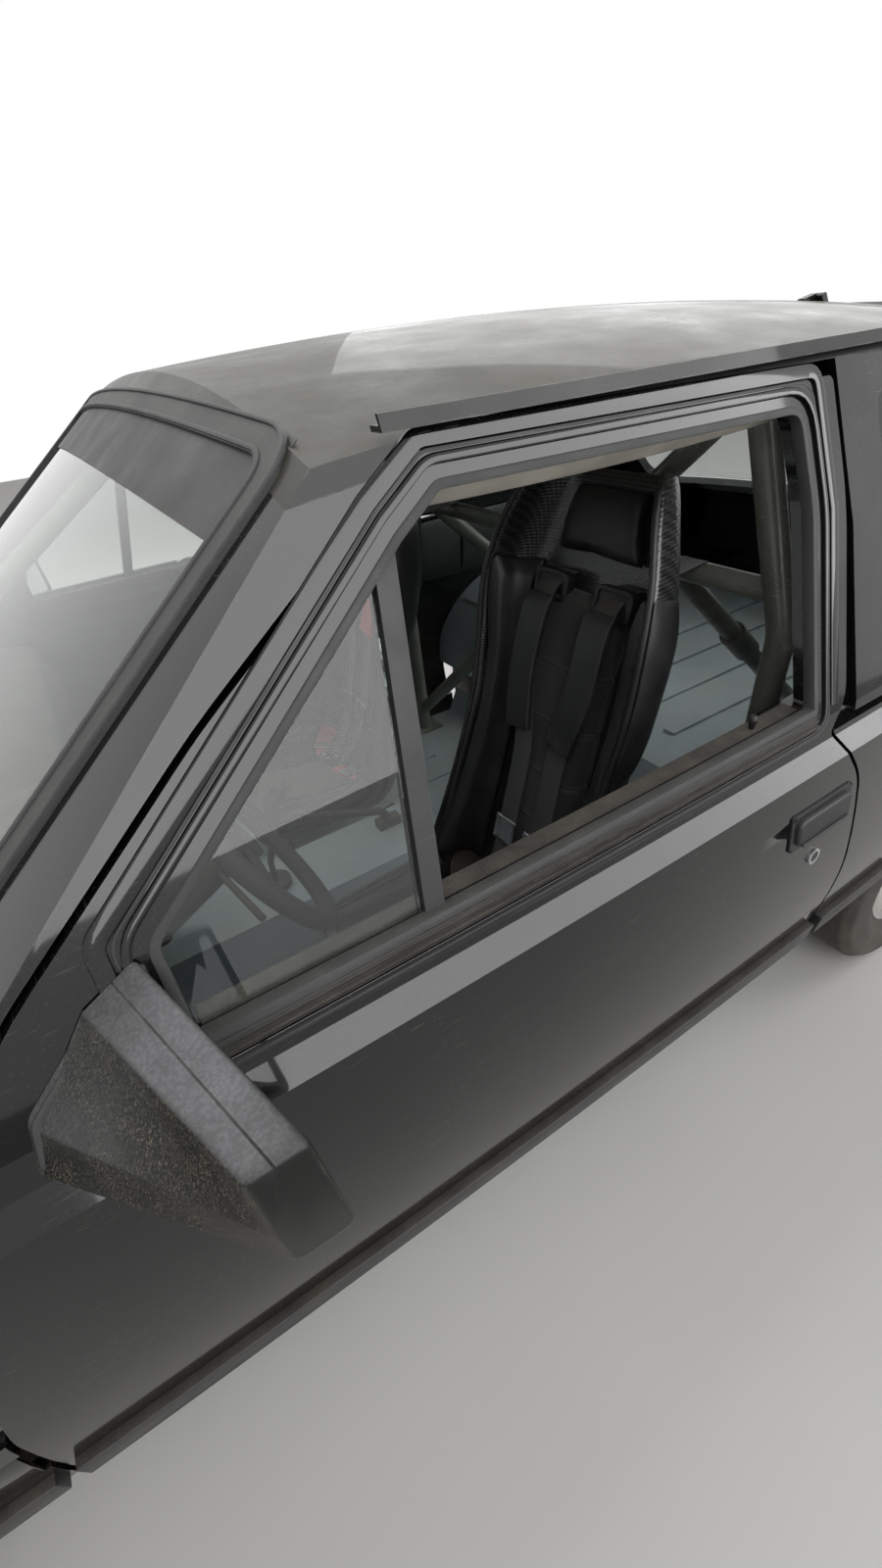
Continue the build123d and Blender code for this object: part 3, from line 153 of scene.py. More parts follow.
def product(tree, *values, clamp=False):
    """Values or sockets multiplied in turn."""
    result = values[0]
    for value in values[1:]:
        result = maths(tree, "MULTIPLY", result, value, clamp=clamp)
    return result


def build_road_dust():
    """Dust that lies low on the sides, on faces that look up, and in patches."""
    group, given, result = new_group(
        "Road Dust",
        [
            ("Color", "Color", (0.5, 0.5, 0.5, 1)),
            ("Roughness", "Float", 0.4),
            ("Dust Color", "Color", (0.30, 0.22, 0.15, 1)),
            ("Amount", "Float", 0.5),
            ("Low", "Float", 0.2),
            ("High", "Float", 0.8),
            ("Upward", "Float", 0.3),
            ("Patches", "Float", 7.0),
        ],
        [("Color", "Color"), ("Roughness", "Float"), ("Mask", "Float")],
    )
    place = object_place(group)
    height = split(group, place)["Z"]
    facing_up = split(group, surface_normal(group))["Z"]
    low_down = spread(group, height, given.outputs["Low"], given.outputs["High"], 1.0, 0.0)
    low_down = maths(group, "POWER", low_down, 1.6)
    lying = product(group, spread(group, facing_up, 0.3, 1.0), given.outputs["Upward"])
    cover = maths(group, "ADD", low_down, lying, clamp=True)
    patches = spread(group, noise(group, place, given.outputs["Patches"], 5.0, 0.62), 0.34, 0.68, 0.25, 1.0)
    specks = spread(group, noise(group, place, 320.0, 2.0), 0.42, 0.62, 0.72, 1.0)
    mask = product(group, cover, patches, specks, given.outputs["Amount"], clamp=True)
    color = blend_colors(group, mask, given.outputs["Color"], given.outputs["Dust Color"])
    rough = group.nodes.new("ShaderNodeMix")
    group.links.new(mask, rough.inputs[0])
    group.links.new(given.outputs["Roughness"], rough.inputs[2])
    rough.inputs[3].default_value = 0.92
    group.links.new(color, result.inputs["Color"])
    group.links.new(rough.outputs[0], result.inputs["Roughness"])
    group.links.new(mask, result.inputs["Mask"])
    return group


def build_scratches():
    """Fine crossing scratches as a mask."""
    group, given, result = new_group(
        "Fine Scratches",
        [("Scale", "Float", 30.0), ("Amount", "Float", 0.5)],
        [("Mask", "Float")],
    )
    place = object_place(group)
    masks = []
    for turn, stretch in (((0.2, 0.5, 0.3), (1.0, 14.0, 9.0)), ((0.9, 0.1, 1.2), (12.0, 1.0, 16.0))):
        field = noise(group, mapped(group, place, turn, stretch), given.outputs["Scale"], 1.5)
        masks.append(spread(group, field, 0.66, 0.70))
    where = spread(group, noise(group, place, 5.0, 2.0), 0.42, 0.60)
    lines = maths(group, "MAXIMUM", masks[0], masks[1])
    mask = product(group, lines, where, given.outputs["Amount"], clamp=True)
    group.links.new(mask, result.inputs["Mask"])
    return group


def build_worn_edges():
    """Mask along sharp edges, broken up by patches."""
    group, given, result = new_group(
        "Worn Edges",
        [("Width", "Float", 0.003), ("Amount", "Float", 0.6), ("Patches", "Float", 40.0)],
        [("Mask", "Float")],
    )
    place = object_place(group)
    bevel = group.nodes.new("ShaderNodeBevel")
    bevel.samples = 4
    group.links.new(given.outputs["Width"], bevel.inputs["Radius"])
    dot = group.nodes.new("ShaderNodeVectorMath")
    dot.operation = "DOT_PRODUCT"
    group.links.new(bevel.outputs[0], dot.inputs[0])
    group.links.new(surface_normal(group), dot.inputs[1])
    edge = spread(group, dot.outputs["Value"], 0.985, 0.88)
    patches = spread(group, noise(group, place, given.outputs["Patches"], 4.0), 0.46, 0.60)
    mask = product(group, edge, patches, given.outputs["Amount"], clamp=True)
    group.links.new(mask, result.inputs["Mask"])
    return group


def build_grain():
    """Pebbled grain of moulded plastic and leather, as a height."""
    group, given, result = new_group("Moulded Grain", [("Scale", "Float", 600.0)], [("Height", "Float")])
    place = object_place(group)
    cells = group.nodes.new("ShaderNodeTexVoronoi")
    group.links.new(place, cells.inputs["Vector"])
    group.links.new(given.outputs["Scale"], cells.inputs["Scale"])
    height = maths(group, "ADD", cells.outputs["Distance"], noise(group, place, given.outputs["Scale"], 2.0))
    group.links.new(height, result.inputs["Height"])
    return group


def build_weave():
    """Two crossing thread directions on a flat vector, as a height and a shade."""
    group, given, result = new_group(
        "Crossed Weave",
        [("Vector", "Vector", (0, 0, 0)), ("Threads", "Float", 300.0)],
        [("Height", "Float"), ("Shade", "Float")],
    )
    parts = split(group, given.outputs["Vector"])
    waves = []
    for axis in ("X", "Y"):
        phase = product(group, parts[axis], given.outputs["Threads"], math.tau)
        waves.append(maths(group, "SINE", phase, 0))
    crossing = product(group, *waves)
    height = spread(group, crossing, -1.0, 1.0)
    shade = spread(group, crossing, -0.15, 0.15)
    group.links.new(height, result.inputs["Height"])
    group.links.new(shade, result.inputs["Shade"])
    return group


road_dust = build_road_dust()
fine_scratches = build_scratches()
worn_edges = build_worn_edges()
moulded_grain = build_grain()
crossed_weave = build_weave()


# Finishes

def new_material(name, **sockets):
    """Material with one Principled shader. Even values go on the shader's own sockets."""
    material = bpy.data.materials.new(name)
    material.use_nodes = True
    shader = material.node_tree.nodes["Principled BSDF"]
    for key, value in sockets.items():
        shader.inputs[key.replace("_", " ")].default_value = value
    materials[name] = material
    return material, material.node_tree, shader


def use_group(tree, group, **values):
    """A shader group placed in a material with its own values."""
    node = tree.nodes.new("ShaderNodeGroup")
    node.node_tree = group
    for key, value in values.items():
        node.inputs[key.replace("_", " ")].default_value = value
    return node


def add_bump(tree, shader, height, strength, distance):
    """Bump from a height to the shader's normal."""
    bump = add(tree, "Bump")
    bump.inputs["Strength"].default_value = strength
    bump.inputs["Distance"].default_value = distance
    tree.links.new(height, bump.inputs["Height"])
    tree.links.new(bump.outputs[0], shader.inputs["Normal"])


def mark(tree, shade, group, color, **values):
    """A colour over a shade where the mask of a group lies. Gives the new shade and the mask."""
    mask = use_group(tree, group, **values).outputs["Mask"]
    return blend_colors(tree, mask, shade, color), mask


def lay_dust(tree, shader, shade, rough=None, coat=None, **values):
    """Road dust over a shade and roughness, linked to the shader, with a coat that the dust dulls."""
    dust = use_group(tree, road_dust, **values)
    tree.links.new(shade, dust.inputs["Color"])
    if rough is not None:
        tree.links.new(rough, dust.inputs["Roughness"])
    tree.links.new(dust.outputs["Color"], shader.inputs["Base Color"])
    tree.links.new(dust.outputs["Roughness"], shader.inputs["Roughness"])
    if coat is not None:
        clear = maths(tree, "MULTIPLY", dust.outputs["Mask"], -coat)
        tree.links.new(maths(tree, "ADD", clear, coat, clamp=True), shader.inputs["Coat Weight"])
    return dust


def scaled_color(color, factor, lift=0.0):
    """A colour made paler or darker by a factor, and lifted a little."""
    return tuple(min(1.0, part * factor + lift) for part in color[:3]) + (1,)


def cloudy_shade(tree, place, scale, detail, first, second, rough=0.55, low=0.34, high=0.66):
    """Two colours mixed in soft clouds."""
    return blend_colors(tree, spread(tree, noise(tree, place, scale, detail, rough), low, high), first,
                        second)


def make_paint(name, color, worn_color, dust_color, amount, low, high, upward=0.25, roughness=0.2, coat=1.0,
               scratched=0.35, edge=0.5):
    """Sprayed paint with mottling, orange peel, fine scratches, chipped edges and road dust."""
    material, tree, shader = new_material(name, Coat_Roughness=0.04, Specular_IOR_Level=0.12)
    place = object_place(tree)
    shade = cloudy_shade(tree, place, 2.6, 5.0, color, scaled_color(color, 1.35, 0.004))
    shade, lines = mark(tree, shade, fine_scratches, worn_color, Scale=26.0, Amount=scratched)
    shade, _ = mark(tree, shade, worn_edges, worn_color, Width=0.0025, Amount=edge, Patches=34.0)
    rough = spread(tree, noise(tree, place, 11.0, 4.0), 0.3, 0.7, roughness * 0.7, roughness * 1.4)
    rough = maths(tree, "ADD", rough, lines, clamp=True)
    dust = lay_dust(tree, shader, shade, rough, coat, Dust_Color=dust_color, Amount=amount, Low=low,
                    High=high, Upward=upward, Patches=6.0)
    peel = maths(tree, "ADD", noise(tree, place, 260.0, 1.5), product(tree, dust.outputs["Mask"], 0.9))
    add_bump(tree, shader, peel, 0.05, 0.0012)
    return material


def make_moulded(name, color, scuff_color, dust_amount=0.5, upward=0.6, roughness=0.5, grain=900.0, low=0.0,
                 high=0.6, dust_color=(0.27, 0.22, 0.17, 1), bump=0.12, edge=0.6, coat=0.0):
    """Moulded plastic or rubber with grain, scuffed edges and settled dust."""
    material, tree, shader = new_material(name)
    cloudy = spread(tree, noise(tree, object_place(tree), 14.0, 5.0), 0.3, 0.7)
    shade = blend_colors(tree, cloudy, color, scaled_color(color, 1.5, 0.006))
    shade, _ = mark(tree, shade, worn_edges, scuff_color, Width=0.0022, Amount=edge, Patches=55.0)
    shade, _ = mark(tree, shade, fine_scratches, scuff_color, Scale=38.0, Amount=0.3)
    rough = spread(tree, cloudy, 0.0, 1.0, roughness * 0.85, min(1.0, roughness * 1.25))
    lay_dust(tree, shader, shade, rough, coat, Dust_Color=dust_color, Amount=dust_amount, Low=low, High=high,
             Upward=upward, Patches=16.0)
    pebbles = use_group(tree, moulded_grain, Scale=grain)
    add_bump(tree, shader, pebbles.outputs["Height"], bump, 0.0006)
    return material


def make_metal(name, color, stain_color, metallic=1.0, roughness=0.32, stains=0.5, dust_amount=0.3, cast=0.0,
               low=0.0, high=0.5):
    """Bare, plated or cast metal with stains, scratches and dust."""
    material, tree, shader = new_material(name)
    place = object_place(tree)
    stained = spread(tree, noise(tree, place, 12.0, 6.0, 0.65), 0.46, 0.70, 0.0, stains)
    shade = blend_colors(tree, stained, color, stain_color)
    shade, _ = mark(tree, shade, fine_scratches, scaled_color(color, 1.5, 0.05), Scale=60.0, Amount=0.6)
    rough = spread(tree, noise(tree, place, 30.0, 4.0), 0.3, 0.7, roughness * 0.7, min(1.0, roughness * 1.5))
    rough = maths(tree, "ADD", rough, product(tree, stained, 0.35), clamp=True)
    dust = lay_dust(tree, shader, shade, rough, Amount=dust_amount, Low=low, High=high, Upward=0.5,
                    Patches=14.0)
    unstained = maths(tree, "ADD", product(tree, stained, -0.6), 1.0)
    undusted = maths(tree, "ADD", product(tree, dust.outputs["Mask"], -1.0), 1.0)
    tree.links.new(product(tree, unstained, metallic, undusted), shader.inputs["Metallic"])
    scale, strength, distance = (340.0, cast, 0.001) if cast else (90.0, 0.03, 0.0006)
    add_bump(tree, shader, noise(tree, place, scale, 3.0), strength, distance)
    return material


def make_glazing(name, color, smear=0.10):
    """Window glass with faint wiped smears."""
    material, tree, shader = new_material(name, IOR=1.45, Transmission_Weight=1.0, Metallic=0.0)
    place = object_place(tree)
    film = spread(tree, noise(tree, place, 6.0, 6.0, 0.7), 0.42, 0.75)
    wiped = spread(tree, noise(tree, mapped(tree, place, stretch=(4.0, 26.0, 4.0)), 3.0, 4.0), 0.4, 0.7)
    veil = product(tree, film, wiped, smear)
    tree.links.new(blend_colors(tree, veil, color, (0.55, 0.53, 0.48, 1)), shader.inputs["Base Color"])
    tree.links.new(spread(tree, veil, 0.3, 1.0, 0.0, 0.03), shader.inputs["Roughness"])
    clear = tree.nodes.new("ShaderNodeBsdfTransparent")
    clear.inputs["Color"].default_value = color
    rays = tree.nodes.new("ShaderNodeLightPath")
    mix = tree.nodes.new("ShaderNodeMixShader")
    tree.links.new(rays.outputs["Is Shadow Ray"], mix.inputs["Fac"])
    tree.links.new(shader.outputs[0], mix.inputs[1])
    tree.links.new(clear.outputs[0], mix.inputs[2])
    output = next(node for node in tree.nodes if node.type == "OUTPUT_MATERIAL")
    tree.links.new(mix.outputs[0], output.inputs["Surface"])
    return material


def make_lens(name, color, ribs):
    """Fluted lamp glass or plastic with a clear coat over it."""
    material, tree, shader = new_material(name, IOR=1.49, Coat_Roughness=0.04)
    place = object_place(tree)
    waves = tree.nodes.new("ShaderNodeTexWave")
    waves.bands_direction = "Y"
    waves.inputs["Scale"].default_value = ribs
    tree.links.new(place, waves.inputs["Vector"])
    shade = blend_colors(tree, spread(tree, waves.outputs["Fac"], 0.1, 0.9), scaled_color(color, 0.45), color)
    lay_dust(tree, shader, shade, coat=1.0, Amount=0.5, Low=0.3, High=0.8, Upward=0.4, Patches=12.0,
             Roughness=0.12)
    add_bump(tree, shader, waves.outputs["Fac"], 0.35, 0.003)
    return material


def make_cage_paint():
    """Olive-grey brushed-on tube paint, scratched and rubbed through to steel."""
    material, tree, shader = new_material("cage_paint", Coat_Roughness=0.2)
    place = object_place(tree)
    shade = cloudy_shade(tree, place, 9.0, 6.0, (0.155, 0.165, 0.135, 1), (0.235, 0.24, 0.205, 1), rough=0.6)
    shade, _ = mark(tree, shade, fine_scratches, (0.42, 0.43, 0.40, 1), Scale=20.0, Amount=0.75)
    shade, _ = mark(tree, shade, worn_edges, (0.06, 0.06, 0.055, 1), Width=0.004, Amount=0.6, Patches=26.0)
    rough = spread(tree, noise(tree, place, 22.0, 4.0), 0.3, 0.7, 0.30, 0.52)
    lay_dust(tree, shader, shade, rough, 0.25, Dust_Color=(0.34, 0.33, 0.29, 1), Amount=0.55, Low=0.2,
             High=0.9, Upward=0.7, Patches=18.0)
    add_bump(tree, shader, noise(tree, place, 150.0, 3.0), 0.1, 0.0009)
    return material


def woven(tree, turned, threads):
    """Crossed threads on object coordinates turned to the cloth's plane."""
    weave = use_group(tree, crossed_weave, Threads=threads)
    tree.links.new(mapped(tree, object_place(tree), turned), weave.inputs["Vector"])
    return weave.outputs


def make_woven_shell():
    """Seat shell with the look of open black weave under thin resin."""
    material, tree, shader = new_material("seat_shell", Coat_Roughness=0.18)
    weave = woven(tree, (0.0, 1.5708, 0.7854), 125.0)
    shade = blend_colors(tree, weave["Shade"], (0.008, 0.008, 0.009, 1), (0.055, 0.055, 0.058, 1))
    lay_dust(tree, shader, shade, coat=0.5, Amount=0.35, Low=0.1, High=0.6, Upward=0.5, Patches=15.0,
             Roughness=0.38)
    add_bump(tree, shader, weave["Height"], 0.5, 0.0015)
    return material


def make_cloth(name, color, pale, threads, roughness=0.85, sheen=0.3, turned=(0.0, 1.5708, 0.0)):
    """Woven or knitted cloth on object coordinates, with fuzz and light soiling."""
    material, tree, shader = new_material(name, Sheen_Weight=sheen, Sheen_Roughness=0.5)
    weave = woven(tree, turned, threads)
    shade = blend_colors(tree, weave["Shade"], color, pale)
    lay_dust(tree, shader, shade, Amount=0.35, Low=0.1, High=0.7, Upward=0.45, Patches=18.0,
             Roughness=roughness)
    add_bump(tree, shader, weave["Height"], 0.4, 0.0008)
    return material


def make_mirror_plastic():
    """Black housing plastic, grey on top and smeared with fine pale dust on its front."""
    material, tree, shader = new_material("mirror_plastic", Specular_IOR_Level=0.25)
    place = object_place(tree)
    shade = cloudy_shade(tree, place, 14.0, 5.0, (0.006, 0.006, 0.006, 1), (0.016, 0.016, 0.015, 1), low=0.3,
                         high=0.7)
    ahead = spread(tree, split(tree, surface_normal(tree))["X"], 0.35, 0.8)
    drag = mapped(tree, place, (0.4, 0.2, 0.5), (75.0, 190.0, 90.0))
    streaks = spread(tree, noise(tree, drag, 4.0, 6.0, 0.7), 0.50, 0.64)
    patches = spread(tree, noise(tree, place, 30.0, 5.0, 0.65), 0.30, 0.62)
    smear = product(tree, streaks, patches, ahead)
    shade = blend_colors(tree, smear, shade, (0.21, 0.19, 0.14, 1))
    shade, _ = mark(tree, shade, worn_edges, (0.12, 0.12, 0.11, 1), Width=0.004, Amount=0.8, Patches=60.0)
    dust = lay_dust(tree, shader, shade, Dust_Color=(0.230, 0.232, 0.240, 1), Amount=0.95, Low=0.0, High=0.4,
                    Upward=1.0, Patches=5.0, Roughness=0.34)
    tree.links.new(maths(tree, "ADD", dust.outputs["Roughness"], smear, clamp=True),
                   shader.inputs["Roughness"])
    pebbles = use_group(tree, moulded_grain, Scale=1100.0)
    height = maths(tree, "ADD", product(tree, smear, 1.5), pebbles.outputs["Height"])
    add_bump(tree, shader, height, 0.12, 0.0006)
    return material


def make_tyre_rubber():
    """Black tyre rubber, grey-brown with dried mud in patches."""
    material, tree, shader = new_material("tyre_rubber")
    shade = cloudy_shade(tree, object_place(tree), 24.0, 6.0, (0.014, 0.014, 0.014, 1),
                         (0.032, 0.031, 0.030, 1))
    lay_dust(tree, shader, shade, Dust_Color=(0.22, 0.18, 0.14, 1), Amount=0.75, Low=-0.2, High=0.9,
             Upward=0.4, Patches=13.0, Roughness=0.72)
    pebbles = use_group(tree, moulded_grain, Scale=420.0)
    add_bump(tree, shader, pebbles.outputs["Height"], 0.2, 0.0012)
    return material


BLACK = (0.0030, 0.0030, 0.0033, 1)
BROWN_DUST = (0.235, 0.175, 0.12, 1)
make_paint("body_paint", BLACK, (0.085, 0.08, 0.075, 1), BROWN_DUST, 0.34, 0.12, 0.66, upward=0.05,
           roughness=0.15, coat=0.75)
make_paint("roof_paint", (0.006, 0.006, 0.006, 1), (0.11, 0.105, 0.095, 1), (0.150, 0.142, 0.108, 1), 0.62,
           0.0, 0.4, upward=0.85, roughness=0.34, coat=0.35, scratched=0.6, edge=0.8)
make_paint("floor_paint", (0.34, 0.40, 0.44, 1), (0.16, 0.17, 0.17, 1), (0.46, 0.44, 0.38, 1), 0.62, 0.1, 0.7,
           upward=0.85, roughness=0.5, coat=0.1, scratched=0.6, edge=0.7)
make_moulded("plastic", (0.012, 0.012, 0.013, 1), (0.085, 0.085, 0.085, 1), dust_amount=0.55, upward=0.35,
             roughness=0.42)
make_moulded("seal_rubber", (0.030, 0.031, 0.031, 1), (0.12, 0.12, 0.12, 1), dust_amount=0.6, upward=0.5,
             roughness=0.62, grain=1500.0, dust_color=(0.20, 0.19, 0.17, 1))
make_moulded("dark_trim", (0.009, 0.009, 0.010, 1), (0.06, 0.06, 0.06, 1), dust_amount=0.35, upward=0.3,
             roughness=0.5)
make_moulded("dash_plastic", (0.018, 0.018, 0.019, 1), (0.07, 0.07, 0.07, 1), dust_amount=0.5, upward=0.8,
             roughness=0.6, grain=700.0, bump=0.25)
make_moulded("wheel_grip", (0.016, 0.015, 0.015, 1), (0.09, 0.085, 0.08, 1), dust_amount=0.2, upward=0.3,
             roughness=0.78, grain=1300.0, bump=0.45)
make_moulded("pad_leather", (0.013, 0.013, 0.014, 1), (0.05, 0.05, 0.05, 1), dust_amount=0.25, upward=0.35,
             roughness=0.44, grain=1100.0, bump=0.3)
make_moulded("headliner", (0.46, 0.44, 0.38, 1), (0.3, 0.28, 0.25, 1), dust_amount=0.3, upward=0.2,
             roughness=0.85, grain=800.0, bump=0.35)
make_mirror_plastic()
make_moulded("dusty_felt", (0.020, 0.018, 0.016, 1), (0.10, 0.09, 0.08, 1), dust_amount=0.8, upward=1.0,
             roughness=0.85, grain=1600.0, dust_color=(0.155, 0.137, 0.118, 1), bump=0.3)
make_moulded("buckle_black", (0.012, 0.012, 0.013, 1), (0.14, 0.14, 0.14, 1), dust_amount=0.2, upward=0.4,
             roughness=0.35, edge=0.9)
make_moulded("thread_grey", (0.060, 0.060, 0.062, 1), (0.12, 0.12, 0.12, 1), dust_amount=0.1, upward=0.2,
             roughness=0.8, grain=2500.0)
make_moulded("plate_white", (0.62, 0.62, 0.60, 1), (0.4, 0.38, 0.34, 1), dust_amount=0.5, upward=0.3,
             roughness=0.35, coat=0.3, grain=500.0, bump=0.05, high=1.0)
make_metal("mirror_silver", (0.80, 0.81, 0.82, 1), (0.45, 0.44, 0.42, 1), roughness=0.03, stains=0.15,
           dust_amount=0.15)
make_metal("chrome", (0.62, 0.62, 0.62, 1), (0.25, 0.23, 0.20, 1), roughness=0.18, stains=0.4)
make_metal("buckle_steel", (0.55, 0.55, 0.56, 1), (0.28, 0.27, 0.26, 1), roughness=0.25, stains=0.25,
           dust_amount=0.1)
make_metal("chassis_steel", (0.045, 0.045, 0.045, 1), (0.12, 0.075, 0.045, 1), metallic=0.5, roughness=0.55,
           stains=0.6, dust_amount=0.6, cast=0.1)
make_metal("engine_iron", (0.20, 0.205, 0.21, 1), (0.05, 0.045, 0.04, 1), metallic=0.7, roughness=0.5,
           stains=0.8, dust_amount=0.2, cast=0.4)
make_metal("exhaust_steel", (0.30, 0.28, 0.25, 1), (0.17, 0.09, 0.05, 1), metallic=0.9, roughness=0.45,
           stains=0.9, dust_amount=0.4)
make_metal("rim_paint", (0.55, 0.55, 0.54, 1), (0.25, 0.23, 0.20, 1), metallic=0.75, roughness=0.35,
           stains=0.3, dust_amount=0.45, high=0.6)
make_glazing("glazing", (0.86, 0.90, 0.88, 1))
make_glazing("dark_glazing", (0.03, 0.033, 0.035, 1), smear=0.06)
make_lens("lamp_lens", (0.78, 0.80, 0.82, 1), 60.0)
make_lens("tail_lens", (0.42, 0.014, 0.010, 1), 60.0)
make_lens("amber_lens", (0.80, 0.24, 0.02, 1), 60.0)
make_cage_paint()
make_woven_shell()
make_cloth("seat_cloth", (0.010, 0.010, 0.011, 1), (0.030, 0.030, 0.031, 1), 420.0)
make_cloth("webbing_black", (0.010, 0.010, 0.011, 1), (0.034, 0.034, 0.035, 1), 520.0, roughness=0.6,
           turned=(0.0, 1.33, 0.0))
make_cloth("webbing_red", (0.34, 0.012, 0.014, 1), (0.52, 0.030, 0.030, 1), 520.0, roughness=0.7,
           turned=(0.0, 1.33, 0.0))
make_tyre_rubber()

# Which finish each piece of the frame wears
NODE_FINISH = {
    "body_paint": ["a_pillars", "quarter_panels", "front_wings", "bonnet", "tailgate", "door_left",
                   "door_right", "sills", "front_panel", "rear_panel"],
    "roof_paint": ["roof_panel"],
    "floor_paint": ["rear_floor", "floor_pan", "cowl_and_firewall", "inner_wings"],
    "plastic": ["front_bumper", "rear_bumper", "grille", "door_mirror_left", "door_mirror_right"],
    "lamp_lens": ["headlamps"],
    "tail_lens": ["tail_lamps"],
    "glazing": ["windscreen", "door_glass_left", "door_glass_right", "tailgate_glass"],
    "dark_glazing": ["quarter_windows"],
    "seal_rubber": ["windscreen_seal"],
    "dark_trim": ["door_fittings_left", "door_fittings_right"],
    "cage_paint": ["cage_main_hoop", "cage_front_hoops", "cage_rear_stays", "cage_door_bars"],
    "seat_shell": ["bucket_seats"],
    "seat_cloth": ["seat_pads", "harnesses"],
    "chassis_steel": ["seat_mounts", "front_subframe", "rear_axle", "knuckle_left", "knuckle_right",
                      "front_struts", "fuel_tank", "steering_column"],
    "engine_iron": ["engine_block"],
    "exhaust_steel": ["exhaust"],
    "dash_plastic": ["dashboard", "cabin_controls"],
    "wheel_grip": ["steering_wheel"],
    "rim_paint": ["rim_fl", "rim_fr", "rim_rl", "rim_rr"],
    "tyre_rubber": ["tyre_fl", "tyre_fr", "tyre_rl", "tyre_rr"],
}
for finish, names in NODE_FINISH.items():
    for name in names:
        for place in nodes[name].material_slots:
            place.material = materials[finish]


# Sections of the body side: height and half width at the middle of the car
FLANK = [(0.150, 0.696), (0.460, 0.815), (0.620, 0.830), (0.845, 0.812), (0.872, 0.793), (0.905, 0.785),
         (1.420, 0.581)]


def flank_y(x, z):
    """Half width of the body at a place on its side."""
    if 0.460 <= z <= 0.845:
        (a, p), (b, q), (c, r) = FLANK[1:4]
        half = p * (z - b) * (z - c) / ((a - b) * (a - c)) + q * (z - a) * (z - c) / ((b - a) * (b - c))
        half += r * (z - a) * (z - b) / ((c - a) * (c - b))
    else:
        rows = FLANK if z > 0.845 else FLANK[:2]
        low = max(index for index, row in enumerate(rows[:-1]) if index == 0 or row[0] <= z)
        (a, p), (b, q) = rows[low], rows[low + 1]
        half = p + (q - p) * (z - a) / (b - a)
    return half - x * x / (2 * PLAN_RADIUS)


def pane_point(line, crown, u, v, out):
    """Place on a sloping pane: across, distance down it, and height over it."""
    (x0, z0), (x1, z1) = line
    length = math.hypot(x1 - x0, z1 - z0)
    down = ((x1 - x0) / length, (z1 - z0) / length)
    normal = (-down[1], down[0]) if x1 > x0 else (down[1], -down[0])
    rise = out - u * u / (2 * crown)
    return (x0 + down[0] * v + normal[0] * rise, u, z0 + down[1] * v + normal[1] * rise)


# Middle lines of the sloping panes, from top to foot, and the radius that each is crowned to across
SCREEN_LINE = ((0.210, 1.364), (0.800, 0.920))
SCREEN_CROWN = 5.0
HATCH_LINE = ((-1.060, 1.356), (-1.600, 0.874))
HATCH_CROWN = 6.0
ROOF_CROWN = 6.0


def rounded(rows, step=0.03, turns=5):
    """Closed outline with rounded corners, its long runs divided. Rows: x, z, radius."""
    points = []
    count = len(rows)
    for index, (x, z, radius) in enumerate(rows):
        here = Vector((x, z))
        before = Vector(rows[index - 1][:2]) - here
        after = Vector(rows[(index + 1) % count][:2]) - here
        angle = before.angle(after)
        cut = min(radius / math.tan(angle / 2), before.length * 0.48, after.length * 0.48)
        start, end = here + before.normalized() * cut, here + after.normalized() * cut
        for part in range(turns + 1):
            t = part / turns
            points.append((1 - t) ** 2 * start + 2 * t * (1 - t) * here + t * t * end)
    filled = []
    for index, point in enumerate(points):
        follower = points[(index + 1) % len(points)]
        runs = max(1, int((follower - point).length / step))
        filled += [point.lerp(follower, part / runs) for part in range(runs)]
    return filled


def rectangle(x_low, x_high, z_low, z_high, corner):
    """Rows of an upright rectangle with one corner radius."""
    return [(x_low, z_low, corner), (x_high, z_low, corner), (x_high, z_high, corner),
            (x_low, z_high, corner)]


def oval(x, z, half_x, half_z, count, corner):
    """Rows of an oval outline."""
    turns = [part / count * math.tau for part in range(count)]
    return [(x + half_x * math.cos(turn), z + half_z * math.sin(turn), corner) for turn in turns]


def circle(centre, first, second, radius, count):
    """Points round a centre, in the plane of two directions."""
    turns = [part / count * math.tau for part in range(count)]
    return [centre + (first * math.cos(turn) + second * math.sin(turn)) * radius for turn in turns]


AHEAD, ACROSS, UP = Vector((1, 0, 0)), Vector((0, 1, 0)), Vector((0, 0, 1))


def clear_selection():
    """Nothing selected, in object mode."""
    if bpy.context.object and bpy.context.object.mode != "OBJECT":
        bpy.ops.object.mode_set(mode="OBJECT")
    bpy.ops.object.select_all(action="DESELECT")


def choose(piece):
    """Only this piece selected and active."""
    clear_selection()
    piece.select_set(True)
    bpy.context.view_layer.objects.active = piece


def outline_plate(name, outline, low, high, ring=0.0):
    """Plate seen from the side, or a ring inside its outline, between two distances from the paint."""
    clear_selection()
    bpy.ops.mesh.primitive_circle_add(vertices=len(outline), radius=1, fill_type="NGON")
    piece = bpy.context.object
    piece.name = piece.data.name = name
    for vertex, (x, z) in zip(piece.data.vertices, outline):
        vertex.co = (x, low, z)
    bpy.ops.object.mode_set(mode="EDIT")
    bpy.ops.mesh.select_mode(type="FACE")
    bpy.ops.mesh.select_all(action="SELECT")
    if ring:
        bpy.ops.mesh.inset(thickness=ring, use_even_offset=True)
        bpy.ops.mesh.delete(type="FACE")
        bpy.ops.mesh.select_all(action="SELECT")
    bpy.ops.mesh.extrude_region_move(TRANSFORM_OT_translate={"value": (0, high - low, 0)})
    bpy.ops.object.mode_set(mode="OBJECT")
    face_outwards(piece)
    return piece


def apply_modifier(piece, kind, **settings):
    """A modifier with its settings, applied."""
    choose(piece)
    modifier = piece.modifiers.new("shaping", kind)
    for key, value in settings.items():
        setattr(modifier, key, value)
    bpy.ops.object.modifier_apply(modifier=modifier.name)
    return piece


